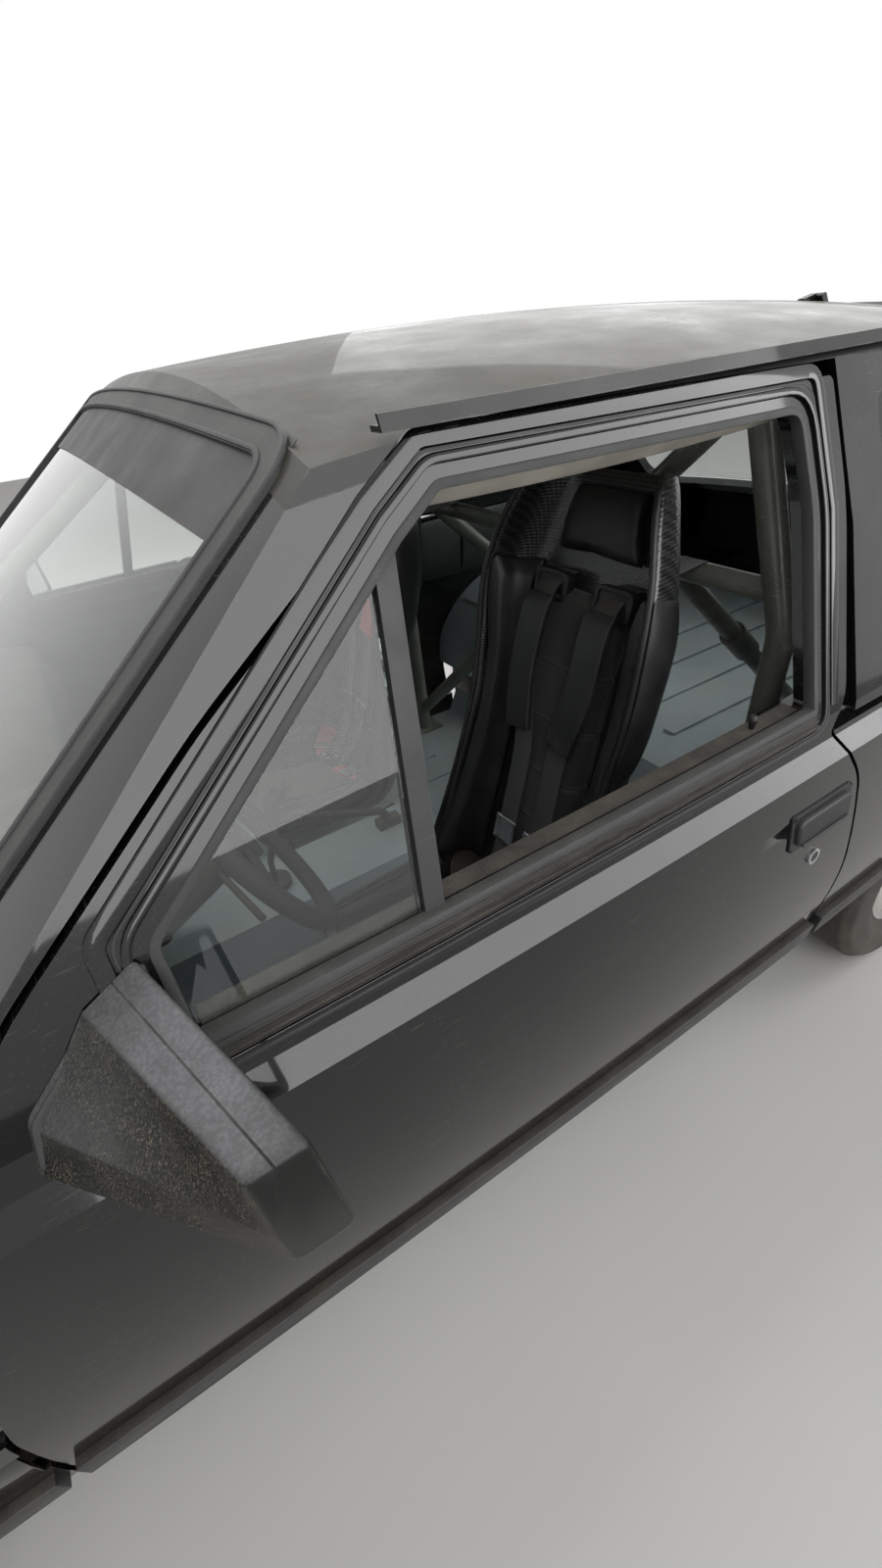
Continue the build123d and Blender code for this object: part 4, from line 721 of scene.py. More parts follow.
def soften(piece, width, segments=2, angle=40):
    """Bevelled edges."""
    return apply_modifier(piece, "BEVEL", width=width, segments=segments, limit_method="ANGLE",
                          angle_limit=math.radians(angle))


def copy_piece(piece, name):
    """Copy with its own mesh."""
    twin = piece.copy()
    twin.data = piece.data.copy()
    twin.name = twin.data.name = name
    bpy.context.scene.collection.objects.link(twin)
    return twin


def face_outwards(piece):
    """Normals recalculated outwards."""
    choose(piece)
    bpy.ops.object.mode_set(mode="EDIT")
    bpy.ops.mesh.select_all(action="SELECT")
    bpy.ops.mesh.normals_make_consistent(inside=False)
    bpy.ops.object.mode_set(mode="OBJECT")


def done(piece, body, finish, smooth=35):
    """Material in its slot, smooth shading and the body that carries the piece."""
    piece.data.materials.clear()
    piece.data.materials.append(materials[finish])
    choose(piece)
    bpy.ops.object.shade_smooth_by_angle(angle=math.radians(smooth))
    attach(piece, body)
    return piece


def on_both_flanks(piece, name, bodies, finish, smooth=35):
    """Wraps a flat side piece round both sides of the body. Bodies: left and right."""
    for side, body in zip(SIDES, bodies):
        twin = copy_piece(piece, name + "_" + side)
        for vertex in twin.data.vertices:
            x, out, z = vertex.co
            vertex.co.y = SIDES[side] * (flank_y(x, z) + out)
        face_outwards(twin)
        done(twin, body, finish, smooth)
    bpy.data.objects.remove(piece)


def placed(piece, place):
    """Each vertex, drawn as a place across, out and up, put where a function says."""
    for vertex in piece.data.vertices:
        vertex.co = place(*vertex.co)
    face_outwards(piece)
    return piece


def flank_piece(name, rows, low, high, edge, bodies, finish, ring=0.0, segments=2, step=0.03, turns=5):
    """Softened plate or ring, drawn from the side, wrapped round both sides."""
    plate = outline_plate(name, rounded(rows, step, turns), low, high, ring=ring)
    on_both_flanks(soften(plate, edge, segments), name, bodies, finish)


def flank_bar(name, x_low, x_high, z_low, z_high, low, high, edge, bodies, finish, segments=2):
    """Straight strip along both sides, divided so that it can follow the body."""
    rows = rectangle(x_low, x_high, z_low, z_high, 0.0015)
    flank_piece(name, rows, low, high, edge, bodies, finish, segments=segments, step=0.05, turns=1)


def loft_rings(name, rings):
    """Closed form through rings with equal numbers of points, capped at both ends."""
    count = len(rings[0])
    clear_selection()
    bpy.ops.mesh.primitive_circle_add(vertices=count, radius=1, fill_type="NGON", location=(0, 0, 0))
    piece = bpy.context.object
    piece.name = piece.data.name = name
    bpy.ops.object.mode_set(mode="EDIT")
    bpy.ops.mesh.select_mode(type="FACE")
    bpy.ops.mesh.select_all(action="SELECT")
    for _ in rings[1:]:
        bpy.ops.mesh.extrude_region_move(TRANSFORM_OT_translate={"value": (0, 0, 1)})
    bpy.ops.object.mode_set(mode="OBJECT")
    for vertex in piece.data.vertices:
        turn = round(math.atan2(-vertex.co.x, vertex.co.y) / math.tau * count) % count
        vertex.co = rings[round(vertex.co.z)][turn]
    face_outwards(piece)
    return piece


def shaped_sheet(name, across, along, place):
    """Sheet divided across and along, each vertex placed by a function of two values from 0 to 1."""
    clear_selection()
    bpy.ops.mesh.primitive_grid_add(x_subdivisions=across, y_subdivisions=along, size=1,
                                    location=(0.5, 0.5, 0))
    piece = bpy.context.object
    piece.name = piece.data.name = name
    bpy.ops.object.transform_apply(location=True, rotation=True, scale=True)
    for vertex in piece.data.vertices:
        vertex.co = place(vertex.co.x, vertex.co.y)
    return piece


def thicken(piece, thickness, offset=1.0, rounds=1):
    """Wall given to a sheet, with its rim rounded by subdivision."""
    apply_modifier(piece, "SOLIDIFY", thickness=thickness, offset=offset)
    if rounds:
        apply_modifier(piece, "SUBSURF", levels=rounds, render_levels=rounds)
    face_outwards(piece)
    return piece


def moved(piece, shift):
    """Mesh moved in place."""
    piece.data.transform(Matrix.Translation(shift))
    return piece


def turned_over(piece):
    """Mesh turned over the middle of the car, its faces outwards again."""
    piece.data.transform(Matrix.Diagonal((1, -1, 1, 1)))
    face_outwards(piece)
    return piece


def tube_along(name, points, radius, sides=12):
    """Closed tube along smooth points."""
    rings = []
    count = len(points)
    spots = [Vector(point) for point in points]
    side = UP
    for index, spot in enumerate(spots):
        ahead = (spots[min(index + 1, count - 1)] - spots[max(index - 1, 0)]).normalized()
        if abs(ahead.dot(side)) > 0.95:
            side = ACROSS
        first = ahead.cross(side).normalized()
        second = ahead.cross(first).normalized()
        rings.append(circle(spot, first, second, radius, sides))
    return loft_rings(name, rings)


DOORS = ("left_door", "right_door")
SHELL = ("body_shell", "body_shell")

# Opening of the door window: along the car, height, corner radius
WINDOW_OUTLINE = [
    (0.478, 0.915, 0.010), (0.478, 1.006, 0.020), (0.170, 1.236, 0.060), (0.118, 1.268, 0.020),
    (-0.404, 1.260, 0.024), (-0.404, 1.150, 0.200), (-0.352, 0.915, 0.014),
]


def grow(rows, amount):
    """Outline rows moved outwards by an amount, by the bisector at each corner."""
    grown = []
    count = len(rows)
    area = sum(rows[i][0] * rows[(i + 1) % count][1] - rows[(i + 1) % count][0] * rows[i][1]
               for i in range(count))
    turn = 1 if area > 0 else -1
    for index, (x, z, radius) in enumerate(rows):
        here = Vector((x, z))
        first = (here - Vector(rows[index - 1][:2])).normalized()
        second = (Vector(rows[(index + 1) % count][:2]) - here).normalized()
        normals = [Vector((edge.y, -edge.x)) * turn for edge in (first, second)]
        middle = (normals[0] + normals[1]).normalized()
        shift = middle * (amount / max(0.35, middle.dot(normals[0])))
        grown.append((x + shift.x, z + shift.y, max(0.004, radius + amount)))
    return grown


def build_window_frames():
    """Pressed lips, channel rubber and waist seals round the door windows."""
    flank_piece("window_frame_step", grow(WINDOW_OUTLINE, 0.026), -0.001, 0.0045, 0.0015, DOORS, "body_paint",
                ring=0.008)
    flank_piece("window_channel_rubber", grow(WINDOW_OUTLINE, 0.006), -0.016, 0.0015, 0.0018, DOORS,
                "seal_rubber", ring=0.009)
    flank_bar("waist_seal", -0.350, 0.474, 0.898, 0.924, -0.010, 0.004, 0.003, DOORS, "seal_rubber")
    flank_bar("waist_moulding", -0.352, 0.476, 0.884, 0.892, -0.001, 0.005, 0.002, DOORS, "dark_trim")


def build_rub_strips():
    """Narrow black strips along the doors, wings and rear quarters."""
    pieces = [("door_rub_strip", -0.430, 0.742, DOORS), ("wing_rub_strip", 0.760, 1.020, SHELL),
              ("quarter_rub_strip", -0.670, -0.452, SHELL)]
    for name, low, high, bodies in pieces:
        flank_bar(name, low, high, 0.462, 0.504, -0.001, 0.011, 0.004, bodies, "plastic", segments=3)


def build_sun_strip():
    """Black film across the top of the screen, following its curve."""
    film = shaped_sheet("screen_sun_strip", 40, 8, lambda u, v: pane_point(
        SCREEN_LINE, SCREEN_CROWN, (2 * u - 1) * (0.578 + 0.018 * v), 0.034 + 0.116 * v, -0.0010))
    thicken(film, 0.0010, 1.0, 0)
    done(film, "body_shell", "dark_trim", 40)


def build_seal_lines():
    """Locking lip of the screen rubber and the lip beside the paint."""
    rows = [(-0.590, 0.026, 0.07), (0.590, 0.026, 0.07), (0.672, 0.730, 0.06), (-0.672, 0.730, 0.06)]
    lips = (("screen_seal_inner_lip", -0.029, 0.006, 0.0062),
            ("screen_seal_outer_lip", -0.0015, 0.005, 0.0070))
    for name, amount, width, high in lips:
        lip = outline_plate(name, rounded(grow(rows, amount), 0.04, 8), 0.0, high, ring=width)
        placed(soften(lip, 0.0015), lambda u, out, v: pane_point(SCREEN_LINE, SCREEN_CROWN, u, v, out))
        done(lip, "body_shell", "seal_rubber")


build_window_frames()
build_rub_strips()
build_sun_strip()
build_seal_lines()


# Mirror sections at the door and at the tip, and the foot: along the car, height, corner radius
MIRROR_INNER = [
    (0.491, 1.008, 0.007), (0.5136, 0.9977, 0.0005), (0.5145, 0.9962, 0.0003), (0.5154, 0.9969, 0.0005),
    (0.541, 0.986, 0.008), (0.602, 0.922, 0.010), (0.616, 0.881, 0.008), (0.497, 0.878, 0.006),
]
MIRROR_OUTER = [
    (0.434, 1.006, 0.010), (0.4576, 1.0060, 0.0005), (0.4585, 1.0042, 0.0003), (0.4594, 1.0060, 0.0005),
    (0.478, 1.006, 0.012), (0.475, 0.930, 0.018), (0.470, 0.880, 0.010), (0.424, 0.878, 0.010),
]


MIRROR_FOOT = [
    (0.487, 1.002, 0.006), (0.545, 0.976, 0.024), (0.604, 0.930, 0.018), (0.614, 0.888, 0.006),
    (0.520, 0.886, 0.010), (0.500, 0.905, 0.010),
]
MIRROR_FOOT_LIP = [
    (0.489, 0.999, 0.006), (0.545, 0.973, 0.024), (0.602, 0.929, 0.018), (0.611, 0.891, 0.006),
    (0.521, 0.889, 0.010), (0.502, 0.906, 0.010),
]
MIRROR_END_Y = 0.9545


def build_mirrors():
    """Angular mirror housings with a split line, a recessed glass and a lipped foot."""
    inner, outer = rounded(MIRROR_INNER, 9.0, 4), rounded(MIRROR_OUTER, 9.0, 4)
    centre = sum(outer, Vector((0, 0))) / len(outer)
    rings = []
    for share, shrink in ((0.0, 0.0), (0.35, 0.0), (0.70, 0.0), (0.950, 0.0), (0.975, 0.018), (0.99, 0.055),
                          (1.0, 0.13)):
        ring = []
        for first, last in zip(inner, outer):
            spot = first.lerp(last, share)
            spot = spot.lerp(centre, shrink * 0.9)
            near = flank_y(spot.x, spot.y) + 0.004
            ring.append(Vector((spot.x, near + (MIRROR_END_Y - near) * share, spot.y)))
        rings.append(ring)
    housing = loft_rings("mirror_housing", rings)
    choose(housing)
    for face in housing.data.polygons:
        face.select = face.normal.x < -0.9 and face.area > 0.0006
    bpy.ops.object.mode_set(mode="EDIT")
    bpy.ops.mesh.select_mode(type="FACE")
    bpy.ops.mesh.inset(thickness=0.007, use_even_offset=True)
    bpy.ops.transform.translate(value=(0.006, 0, 0))
    bpy.ops.object.mode_set(mode="OBJECT")
    glass = shaped_sheet("mirror_glass", 10, 8, lambda u, v: (
        0.4995 - 0.059 * u - 0.006 * (1 - v) + 0.001, 0.786 + 0.156 * u, 0.891 + 0.102 * v))
    thicken(glass, 0.002, 0.0, 0)
    flank_piece("mirror_foot", MIRROR_FOOT, -0.001, 0.0065, 0.003, DOORS, "mirror_plastic", segments=3)
    flank_piece("mirror_foot_lip", MIRROR_FOOT_LIP, 0.004, 0.0085, 0.0016, DOORS, "seal_rubber", ring=0.006)
    for side, turn in SIDES.items():
        body = side + "_door"
        shell = copy_piece(housing, "mirror_housing_" + side)
        pane = copy_piece(glass, "mirror_glass_" + side)
        if turn < 0:
            turned_over(shell)
            turned_over(pane)
        done(shell, body, "mirror_plastic", 50)
        done(pane, body, "mirror_silver", 40)
        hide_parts("door_mirror_" + side)
    bpy.data.objects.remove(housing)
    bpy.data.objects.remove(glass)


# Door handle seen from the side: along the car, height, corner radius
HANDLE = [(-0.414, 0.748, 0.012), (-0.292, 0.748, 0.014), (-0.292, 0.790, 0.016), (-0.414, 0.790, 0.012)]


def build_handles():
    """Raised flap handles in a dark rim, and round locks with a plated ring under them."""
    flank_piece("handle_flap", HANDLE, -0.004, 0.0105, 0.0045, DOORS, "dark_trim", segments=4, step=0.02,
                turns=6)
    edge = [(x, z, 0.007) for x, z, _ in grow(HANDLE, 0.0085)]
    flank_piece("handle_rim", edge, -0.002, 0.0030, 0.0012, DOORS, "dark_trim", ring=0.0105, step=0.02,
                turns=6)
    grip = rectangle(-0.408, -0.298, 0.7505, 0.7545, 0.002)
    flank_piece("handle_grip", grip, 0.008, 0.0135, 0.0018, DOORS, "dark_trim", segments=3)
    lock = oval(-0.353, 0.700, 0.0130, 0.0135, 12, 0.004)
    flank_piece("lock_ring", lock, -0.001, 0.0038, 0.0012, DOORS, "buckle_steel", ring=0.0042, segments=3,
                step=0.02, turns=3)
    flank_piece("lock_face", grow(lock, -0.0040), -0.001, 0.0022, 0.0008, DOORS, "dark_trim", step=0.02,
                turns=3)
    slot = outline_plate("slot", rounded(rectangle(-0.3543, -0.3517, 0.695, 0.705, 0.0008)), 0.0018, 0.0026)
    on_both_flanks(slot, "lock_slot", DOORS, "dark_trim")


def build_frame_bands():
    """Broad outer band of the pressed window frame, and a flush dark strip of painted shade in the groove
    inside it, both ending at the waist.
    """
    for name, amount, width, low, high, finish in (
        ("frame_outer_band", 0.047, 0.016, -0.0010, 0.0036, "body_paint"),
        # This flush dark strip is painted shade in the groove between the frame step and the outer band.
        ("frame_groove_painted_shade", 0.030, 0.0035, -0.0010, 0.0004, "dark_trim"),
    ):
        rows = [(x, z, min(radius, 0.030)) for x, z, radius in grow(WINDOW_OUTLINE, amount)]
        band = outline_plate(name, rounded(rows, 0.03, 5), low, high, ring=width)
        soften(band, 0.0014, 3)
        choose(band)
        bpy.ops.object.mode_set(mode="EDIT")
        bpy.ops.mesh.select_all(action="SELECT")
        bpy.ops.mesh.bisect(plane_co=(0, 0, 0.9185), plane_no=(0, 0, 1), use_fill=True, clear_inner=True)
        bpy.ops.object.mode_set(mode="OBJECT")
        on_both_flanks(band, name, DOORS, finish)


def build_waist():
    """Felt inside the glass, ribbed channel outside it and the lock buttons."""
    flank_bar("waist_felt", -0.350, 0.472, 0.902, 0.9165, -0.046, -0.022, 0.004, DOORS, "dusty_felt",
              segments=3)
    for index, level in enumerate((0.9005, 0.9075, 0.9145)):
        flank_bar("waist_rib_%d" % index, -0.352, 0.476, level, level + 0.0035, -0.004,
                  0.0062 - 0.0012 * index, 0.0014, DOORS, "dusty_felt")
    for side, turn in SIDES.items():
        rings = [circle(Vector((-0.262, turn * 0.748, z)), AHEAD, ACROSS, radius, 16)
                 for z, radius in ((0.900, 0.0035), (0.918, 0.0035), (0.930, 0.0062), (0.936, 0.0040))]
        knob = loft_rings("lock_button_" + side, rings)
        done(soften(knob, 0.001, 2, 30), side + "_door", "dark_trim", 50)


def build_door_pressing():
    """Shallow oval pressing at the foot of each door near its front edge."""
    rows = oval(0.640, 0.405, 0.070, 0.030, 16, 0.02)
    flank_piece("door_oval_pressing", rows, -0.001, 0.0022, 0.0010, DOORS, "body_paint", ring=0.007,
                segments=3, turns=3)
    flank_piece("door_oval_step", grow(rows, -0.018), -0.001, 0.0014, 0.0006, DOORS, "body_paint", ring=0.004,
                turns=3)


build_mirrors()
build_handles()
build_frame_bands()
build_waist()
build_door_pressing()


# Middle line of the seat: share of the way, x, z, half width, wing depth
SEAT_ROWS = [
    (0.00, 0.224, 0.350, 0.188, 0.050), (0.10, 0.130, 0.330, 0.190, 0.080),
    (0.20, 0.020, 0.311, 0.188, 0.105), (0.28, -0.062, 0.303, 0.186, 0.125),
    (0.35, -0.130, 0.314, 0.184, 0.140), (0.42, -0.176, 0.356, 0.183, 0.140),
    (0.50, -0.203, 0.440, 0.182, 0.128), (0.60, -0.239, 0.580, 0.180, 0.104),
    (0.70, -0.274, 0.720, 0.182, 0.086), (0.78, -0.303, 0.835, 0.187, 0.082),
    (0.86, -0.334, 0.960, 0.188, 0.092), (0.91, -0.353, 1.035, 0.176, 0.090),
    (0.95, -0.368, 1.092, 0.156, 0.086), (0.98, -0.381, 1.140, 0.136, 0.076),
    (1.00, -0.391, 1.172, 0.112, 0.056),
]


def seat_row(along):
    """Smooth values between the rows of the seat's middle line."""
    along = min(max(along, 0.0), 1.0)
    last = len(SEAT_ROWS) - 1
    low = max(index for index, row in enumerate(SEAT_ROWS[:-1]) if row[0] <= along)
    rows = [SEAT_ROWS[max(low - 1, 0)], SEAT_ROWS[low], SEAT_ROWS[low + 1], SEAT_ROWS[min(low + 2, last)]]
    run = rows[2][0] - rows[1][0]
    t = (along - rows[1][0]) / run
    values = []
    for column in range(1, 5):
        a, b, c, d = [row[column] for row in rows]
        first = (c - a) / max(rows[2][0] - rows[0][0], 1e-6) * run
        second = (d - b) / max(rows[3][0] - rows[1][0], 1e-6) * run
        value = (2 * t ** 3 - 3 * t ** 2 + 1) * b + (t ** 3 - 2 * t ** 2 + t) * first
        value += (3 * t ** 2 - 2 * t ** 3) * c + (t ** 3 - t ** 2) * second
        values.append(value)
    return values


def seat_point(across, along, out):
    """Place on the seat: -1 to 1 round its hollow, 0 to 1 from thigh to head, and a distance out of it."""
    x, z, half, wing = seat_row(along)
    before, after = seat_row(along - 0.01), seat_row(along + 0.01)
    run = math.hypot(after[0] - before[0], after[1] - before[1])
    nx, nz = (after[1] - before[1]) / run, -(after[0] - before[0]) / run
    bend = min(0.058, wing * 0.7, half * 0.5)
    reach = abs(across) * (half + wing - 2 * bend + bend * math.pi / 2)
    if reach <= half - bend:
        lateral, depth, side, back = reach, 0.0, 0.0, 1.0
    elif reach <= half - bend + bend * math.pi / 2:
        turn = (reach - half + bend) / bend
        lateral, depth = half - bend + bend * math.sin(turn), bend * (1 - math.cos(turn))
        side, back = math.sin(turn), math.cos(turn)
    else:
        depth = bend + reach - (half - bend + bend * math.pi / 2)
        lateral, side, back = half + 0.10 * (depth - bend), 1.0, 0.0
    rise = depth - out * back
    return Vector((x + nx * rise, math.copysign(lateral + out * side, across or 1.0), z + nz * rise))


def build_seat_shell():
    """Shell with side wings, its rim rounded."""
    shell = shaped_sheet("seat_shell", 34, 46, lambda u, v: seat_point(2 * u - 1, v, 0.0))
    face_outwards(shell)
    outward = sum(face.normal.x
                  for face in shell.data.polygons if face.center.z > 0.6 and abs(face.center.y) < 0.1)
    thicken(shell, 0.013, 1.0 if outward < 0 else -1.0, 1)
    return shell


CLOTH_STEPS = 20


def swell(piece, most, pressure=4.0, voxel=0.0055):
    """Pad blown up as cloth from a smaller shape, no point further than a cap, then smoothed."""
    apply_modifier(piece, "REMESH", mode="VOXEL", voxel_size=voxel)
    start = [vertex.co.copy() for vertex in piece.data.vertices]
    cloth = piece.modifiers.new("fill", "CLOTH")
    cloth.settings.use_pressure = True
    cloth.settings.uniform_pressure_force = pressure
    cloth.settings.effector_weights.gravity = 0.0
    cloth.settings.quality = 4
    cloth.point_cache.frame_start = 1
    cloth.point_cache.frame_end = CLOTH_STEPS
    for step in range(1, CLOTH_STEPS + 1):
        bpy.context.scene.frame_set(step)
    choose(piece)
    bpy.ops.object.modifier_apply(modifier=cloth.name)
    bpy.context.scene.frame_set(1)
    for vertex, first in zip(piece.data.vertices, start):
        move = vertex.co - first
        if move.length > most:
            vertex.co = first + move.normalized() * most
    apply_modifier(piece, "SMOOTH", iterations=6, factor=0.5)
    apply_modifier(piece, "SUBSURF", levels=1, render_levels=1)
    face_outwards(piece)


def pad_slab(name, low, high, start, end, thickness, base):
    """Slab on the seat's inner face, thinner towards its edges."""
    def place(u, v, out):
        edge = (1 - (2 * u - 1) ** 6) * (1 - (2 * v - 1) ** 10)
        return seat_point(low + (high - low) * u, start + (end - start) * v,
                          -base - out * (0.45 + 0.55 * edge))
    top = shaped_sheet(name, 20, 30, lambda u, v: place(u, v, thickness))
    lower = shaped_sheet(name + "_under", 20, 30, lambda u, v: place(u, v, 0.0))
    clear_selection()
    lower.select_set(True)
    top.select_set(True)
    bpy.context.view_layer.objects.active = top
    bpy.ops.object.join()
    bpy.ops.object.mode_set(mode="EDIT")
    bpy.ops.mesh.select_mode(type="EDGE")
    bpy.ops.mesh.select_all(action="DESELECT")
    bpy.ops.mesh.select_non_manifold()
    bpy.ops.mesh.bridge_edge_loops()
    bpy.ops.object.mode_set(mode="OBJECT")
    face_outwards(top)
    return top


def press_seams(piece, lines, depth, width):
    """Sewn channels: points near a line are drawn in. Lines: functions of a point giving a distance."""
    normals = [vertex.normal.copy() for vertex in piece.data.vertices]
    for vertex, normal in zip(piece.data.vertices, normals):
        near = min(abs(line(vertex.co)) for line in lines)
        if near < width * 2.5:
            vertex.co -= normal * depth * math.exp(-(near / width) ** 2)


def stitches(name, points, normals, pitch=0.0075, size=0.0011):
    """Row of short raised stitches along points that lie on a surface."""
    rows = []
    gone = 0.0
    for index in range(1, len(points)):
        run = (points[index] - points[index - 1]).length
        while gone < run:
            share = gone / run
            spot = points[index - 1].lerp(points[index], share)
            ahead = (points[index] - points[index - 1]).normalized()
            rows.append((spot, ahead, normals[index]))
            gone += pitch
        gone -= run
    clear_selection()
    bpy.ops.mesh.primitive_cube_add(size=1, location=(0, 0, 0))
    stitch = bpy.context.object
    bpy.ops.object.mode_set(mode="EDIT")
    bpy.ops.mesh.bevel(offset=0.2, segments=1)
    bpy.ops.object.mode_set(mode="OBJECT")
    copies = []
    for spot, ahead, up in rows:
        side = ahead.cross(up).normalized()
        twin = copy_piece(stitch, name)
        turned = Matrix((ahead * pitch * 0.62, side * size, up.normalized() * size * 1.4)).transposed()
        twin.data.transform(Matrix.Translation(spot) @ turned.to_4x4())
        copies.append(twin)
    bpy.data.objects.remove(stitch)
    clear_selection()
    for twin in copies:
        twin.select_set(True)
    bpy.context.view_layer.objects.active = copies[0]
    bpy.ops.object.join()
    row = bpy.context.object
    row.name = row.data.name = name
    face_outwards(row)
    return row


def build_seat_pads():
    """Cushion and back pads of cloth, a leather head pad, and leather bolsters on the wings."""
    pads = []
    cushion = pad_slab("seat_cushion", -0.46, 0.46, 0.03, 0.345, 0.040, 0.004)
    swell(cushion, 0.012)
    press_seams(cushion, [lambda p: p.y - 0.085, lambda p: p.y + 0.085], 0.006, 0.004)
    pads.append((cushion, "seat_cloth"))
    back = pad_slab("seat_back_pad", -0.44, 0.44, 0.40, 0.885, 0.030, 0.004)
    swell(back, 0.011)
    levels = [0.47, 0.57, 0.67, 0.77, 0.87]
    channels = [lambda p, z=level: p.z - z for level in levels]
    press_seams(back, channels + [lambda p: p.y - 0.098, lambda p: p.y + 0.098], 0.006, 0.0045)
    pads.append((back, "seat_cloth"))
    head = pad_slab("seat_head_pad", -0.40, 0.40, 0.915, 0.985, 0.026, 0.004)
    swell(head, 0.008, voxel=0.005)
    pads.append((head, "pad_leather"))
    for turn, word in ((1, "near"), (-1, "far")):
        bolster = pad_slab("seat_bolster_" + word, 0.50 * turn, 1.0 * turn, 0.44, 0.90, 0.024, 0.003)
        swell(bolster, 0.010, voxel=0.005)
        pads.append((bolster, "pad_leather"))
        thigh = pad_slab("seat_thigh_pad_" + word, 0.52 * turn, 1.0 * turn, 0.02, 0.40, 0.022, 0.003)
        swell(thigh, 0.009, voxel=0.005)
        pads.append((thigh, "pad_leather"))
    return pads


STRAP_HALF_GAP = 0.074


def build_seat_details():
    """Smooth shoulder panels with sewn edges, rim piping and bezels for the shoulder straps, each bezel
    closed by a dark plate of painted shade.
    """
    pieces = []
    for turn, word in ((1, "near"), (-1, "far")):
        def place(u, v, turn=turn):
            share = 0.715 + 0.185 * v
            low = 0.60 + 0.16 * (1 - math.sin(math.pi * v) ** 0.7)
            across = low + (1.0 - low) * u
            crown = (1 - (2 * u - 1) ** 4) * (1 - (2 * v - 1) ** 4)
            return seat_point(turn * across, share, 0.0145 + 0.0075 * crown)
        panel = shaped_sheet("seat_shoulder_panel_" + word, 16, 20, place)
        thicken(panel, 0.002, 0.0, 1)
        pieces.append((panel, "pad_leather"))
        border = [place(0.04, part / 20) for part in range(1, 20)]
        facing = [(place(0.04, part / 20) - seat_point(turn * 0.8, 0.80, -0.05)).normalized()
                  for part in range(1, 20)]
        pieces.append((stitches("seat_shoulder_stitches_" + word, border, facing), "thread_grey"))
    piping = [seat_point(1.0, part / 60, 0.0065) for part in range(1, 60)]
    piping += [seat_point(1.0 - 2 * part / 24, 0.995, 0.0065) for part in range(1, 24)]
    piping += [seat_point(-1.0, 1 - part / 60, 0.0065) for part in range(1, 60)]
    pieces.append((tube_along("seat_rim_piping", piping, 0.0052, 8), "pad_leather"))
    for turn, word in ((1, "near"), (-1, "far")):
        along = 0.877
        centre = seat_point(0.001, along, -0.034)
        rows = rectangle(-0.036, 0.036, -0.020, 0.020, 0.010)
        up, front = Vector((-0.242, 0, 0.970)), Vector((0.970, 0, 0.242))
        for name, grown, low, high, ring, finish in (
            ("strap_slot_frame_", 0.006, -0.014, 0.0050, 0.009, "dark_trim"),
            # This filled dark plate is painted shade in place of the open strap slot.
            ("strap_slot_dark_", 0.0, -0.014, 0.0012, 0.0, "dark_trim"),
        ):
            bezel = outline_plate(name + word, rounded(grow(rows, grown), 0.03, 5), low, high, ring=ring)
            if ring:
                soften(bezel, 0.0016, 3)
            placed(bezel, lambda across, out, height: (
                centre + ACROSS * (turn * STRAP_HALF_GAP + across) + up * height + front * out))
            pieces.append((bezel, finish))
    return pieces


def smooth_point(before, start, end, after, t):
    """Point on a smooth curve from start to end, led by the points on both sides."""
    bend = 2 * before - 5 * start + 4 * end - after
    twist = 3 * start - before - 3 * end + after
    return 0.5 * (2 * start + (end - before) * t + bend * t ** 2 + twist * t ** 3)


def strap_form(name, points, width, thickness=0.0022, sideways=(0, 1, 0), steps=8):
    """Flat webbing along smooth points, with a slight crown across it."""
    spots = [Vector(point) for point in points]
    smooth = []
    for index in range(len(spots) - 1):
        four = [spots[max(index - 1, 0)], spots[index], spots[index + 1],
                spots[min(index + 2, len(spots) - 1)]]
        for part in range(steps):
            t = part / steps
            smooth.append(smooth_point(*four, t))
    smooth.append(spots[-1])
    count = len(smooth) - 1
    side = Vector(sideways).normalized()

    def place(u, v):
        index = round(v * count)
        ahead = (smooth[min(index + 1, count)] - smooth[max(index - 1, 0)]).normalized()
        wide = (side - ahead * side.dot(ahead)).normalized()
        up = wide.cross(ahead)
        return smooth[index] + wide * (u - 0.5) * width + up * 0.0012 * (1 - (2 * u - 1) ** 2)
    strap = shaped_sheet(name, 6, count, place)
    return thicken(strap, thickness, 0.0, 0)


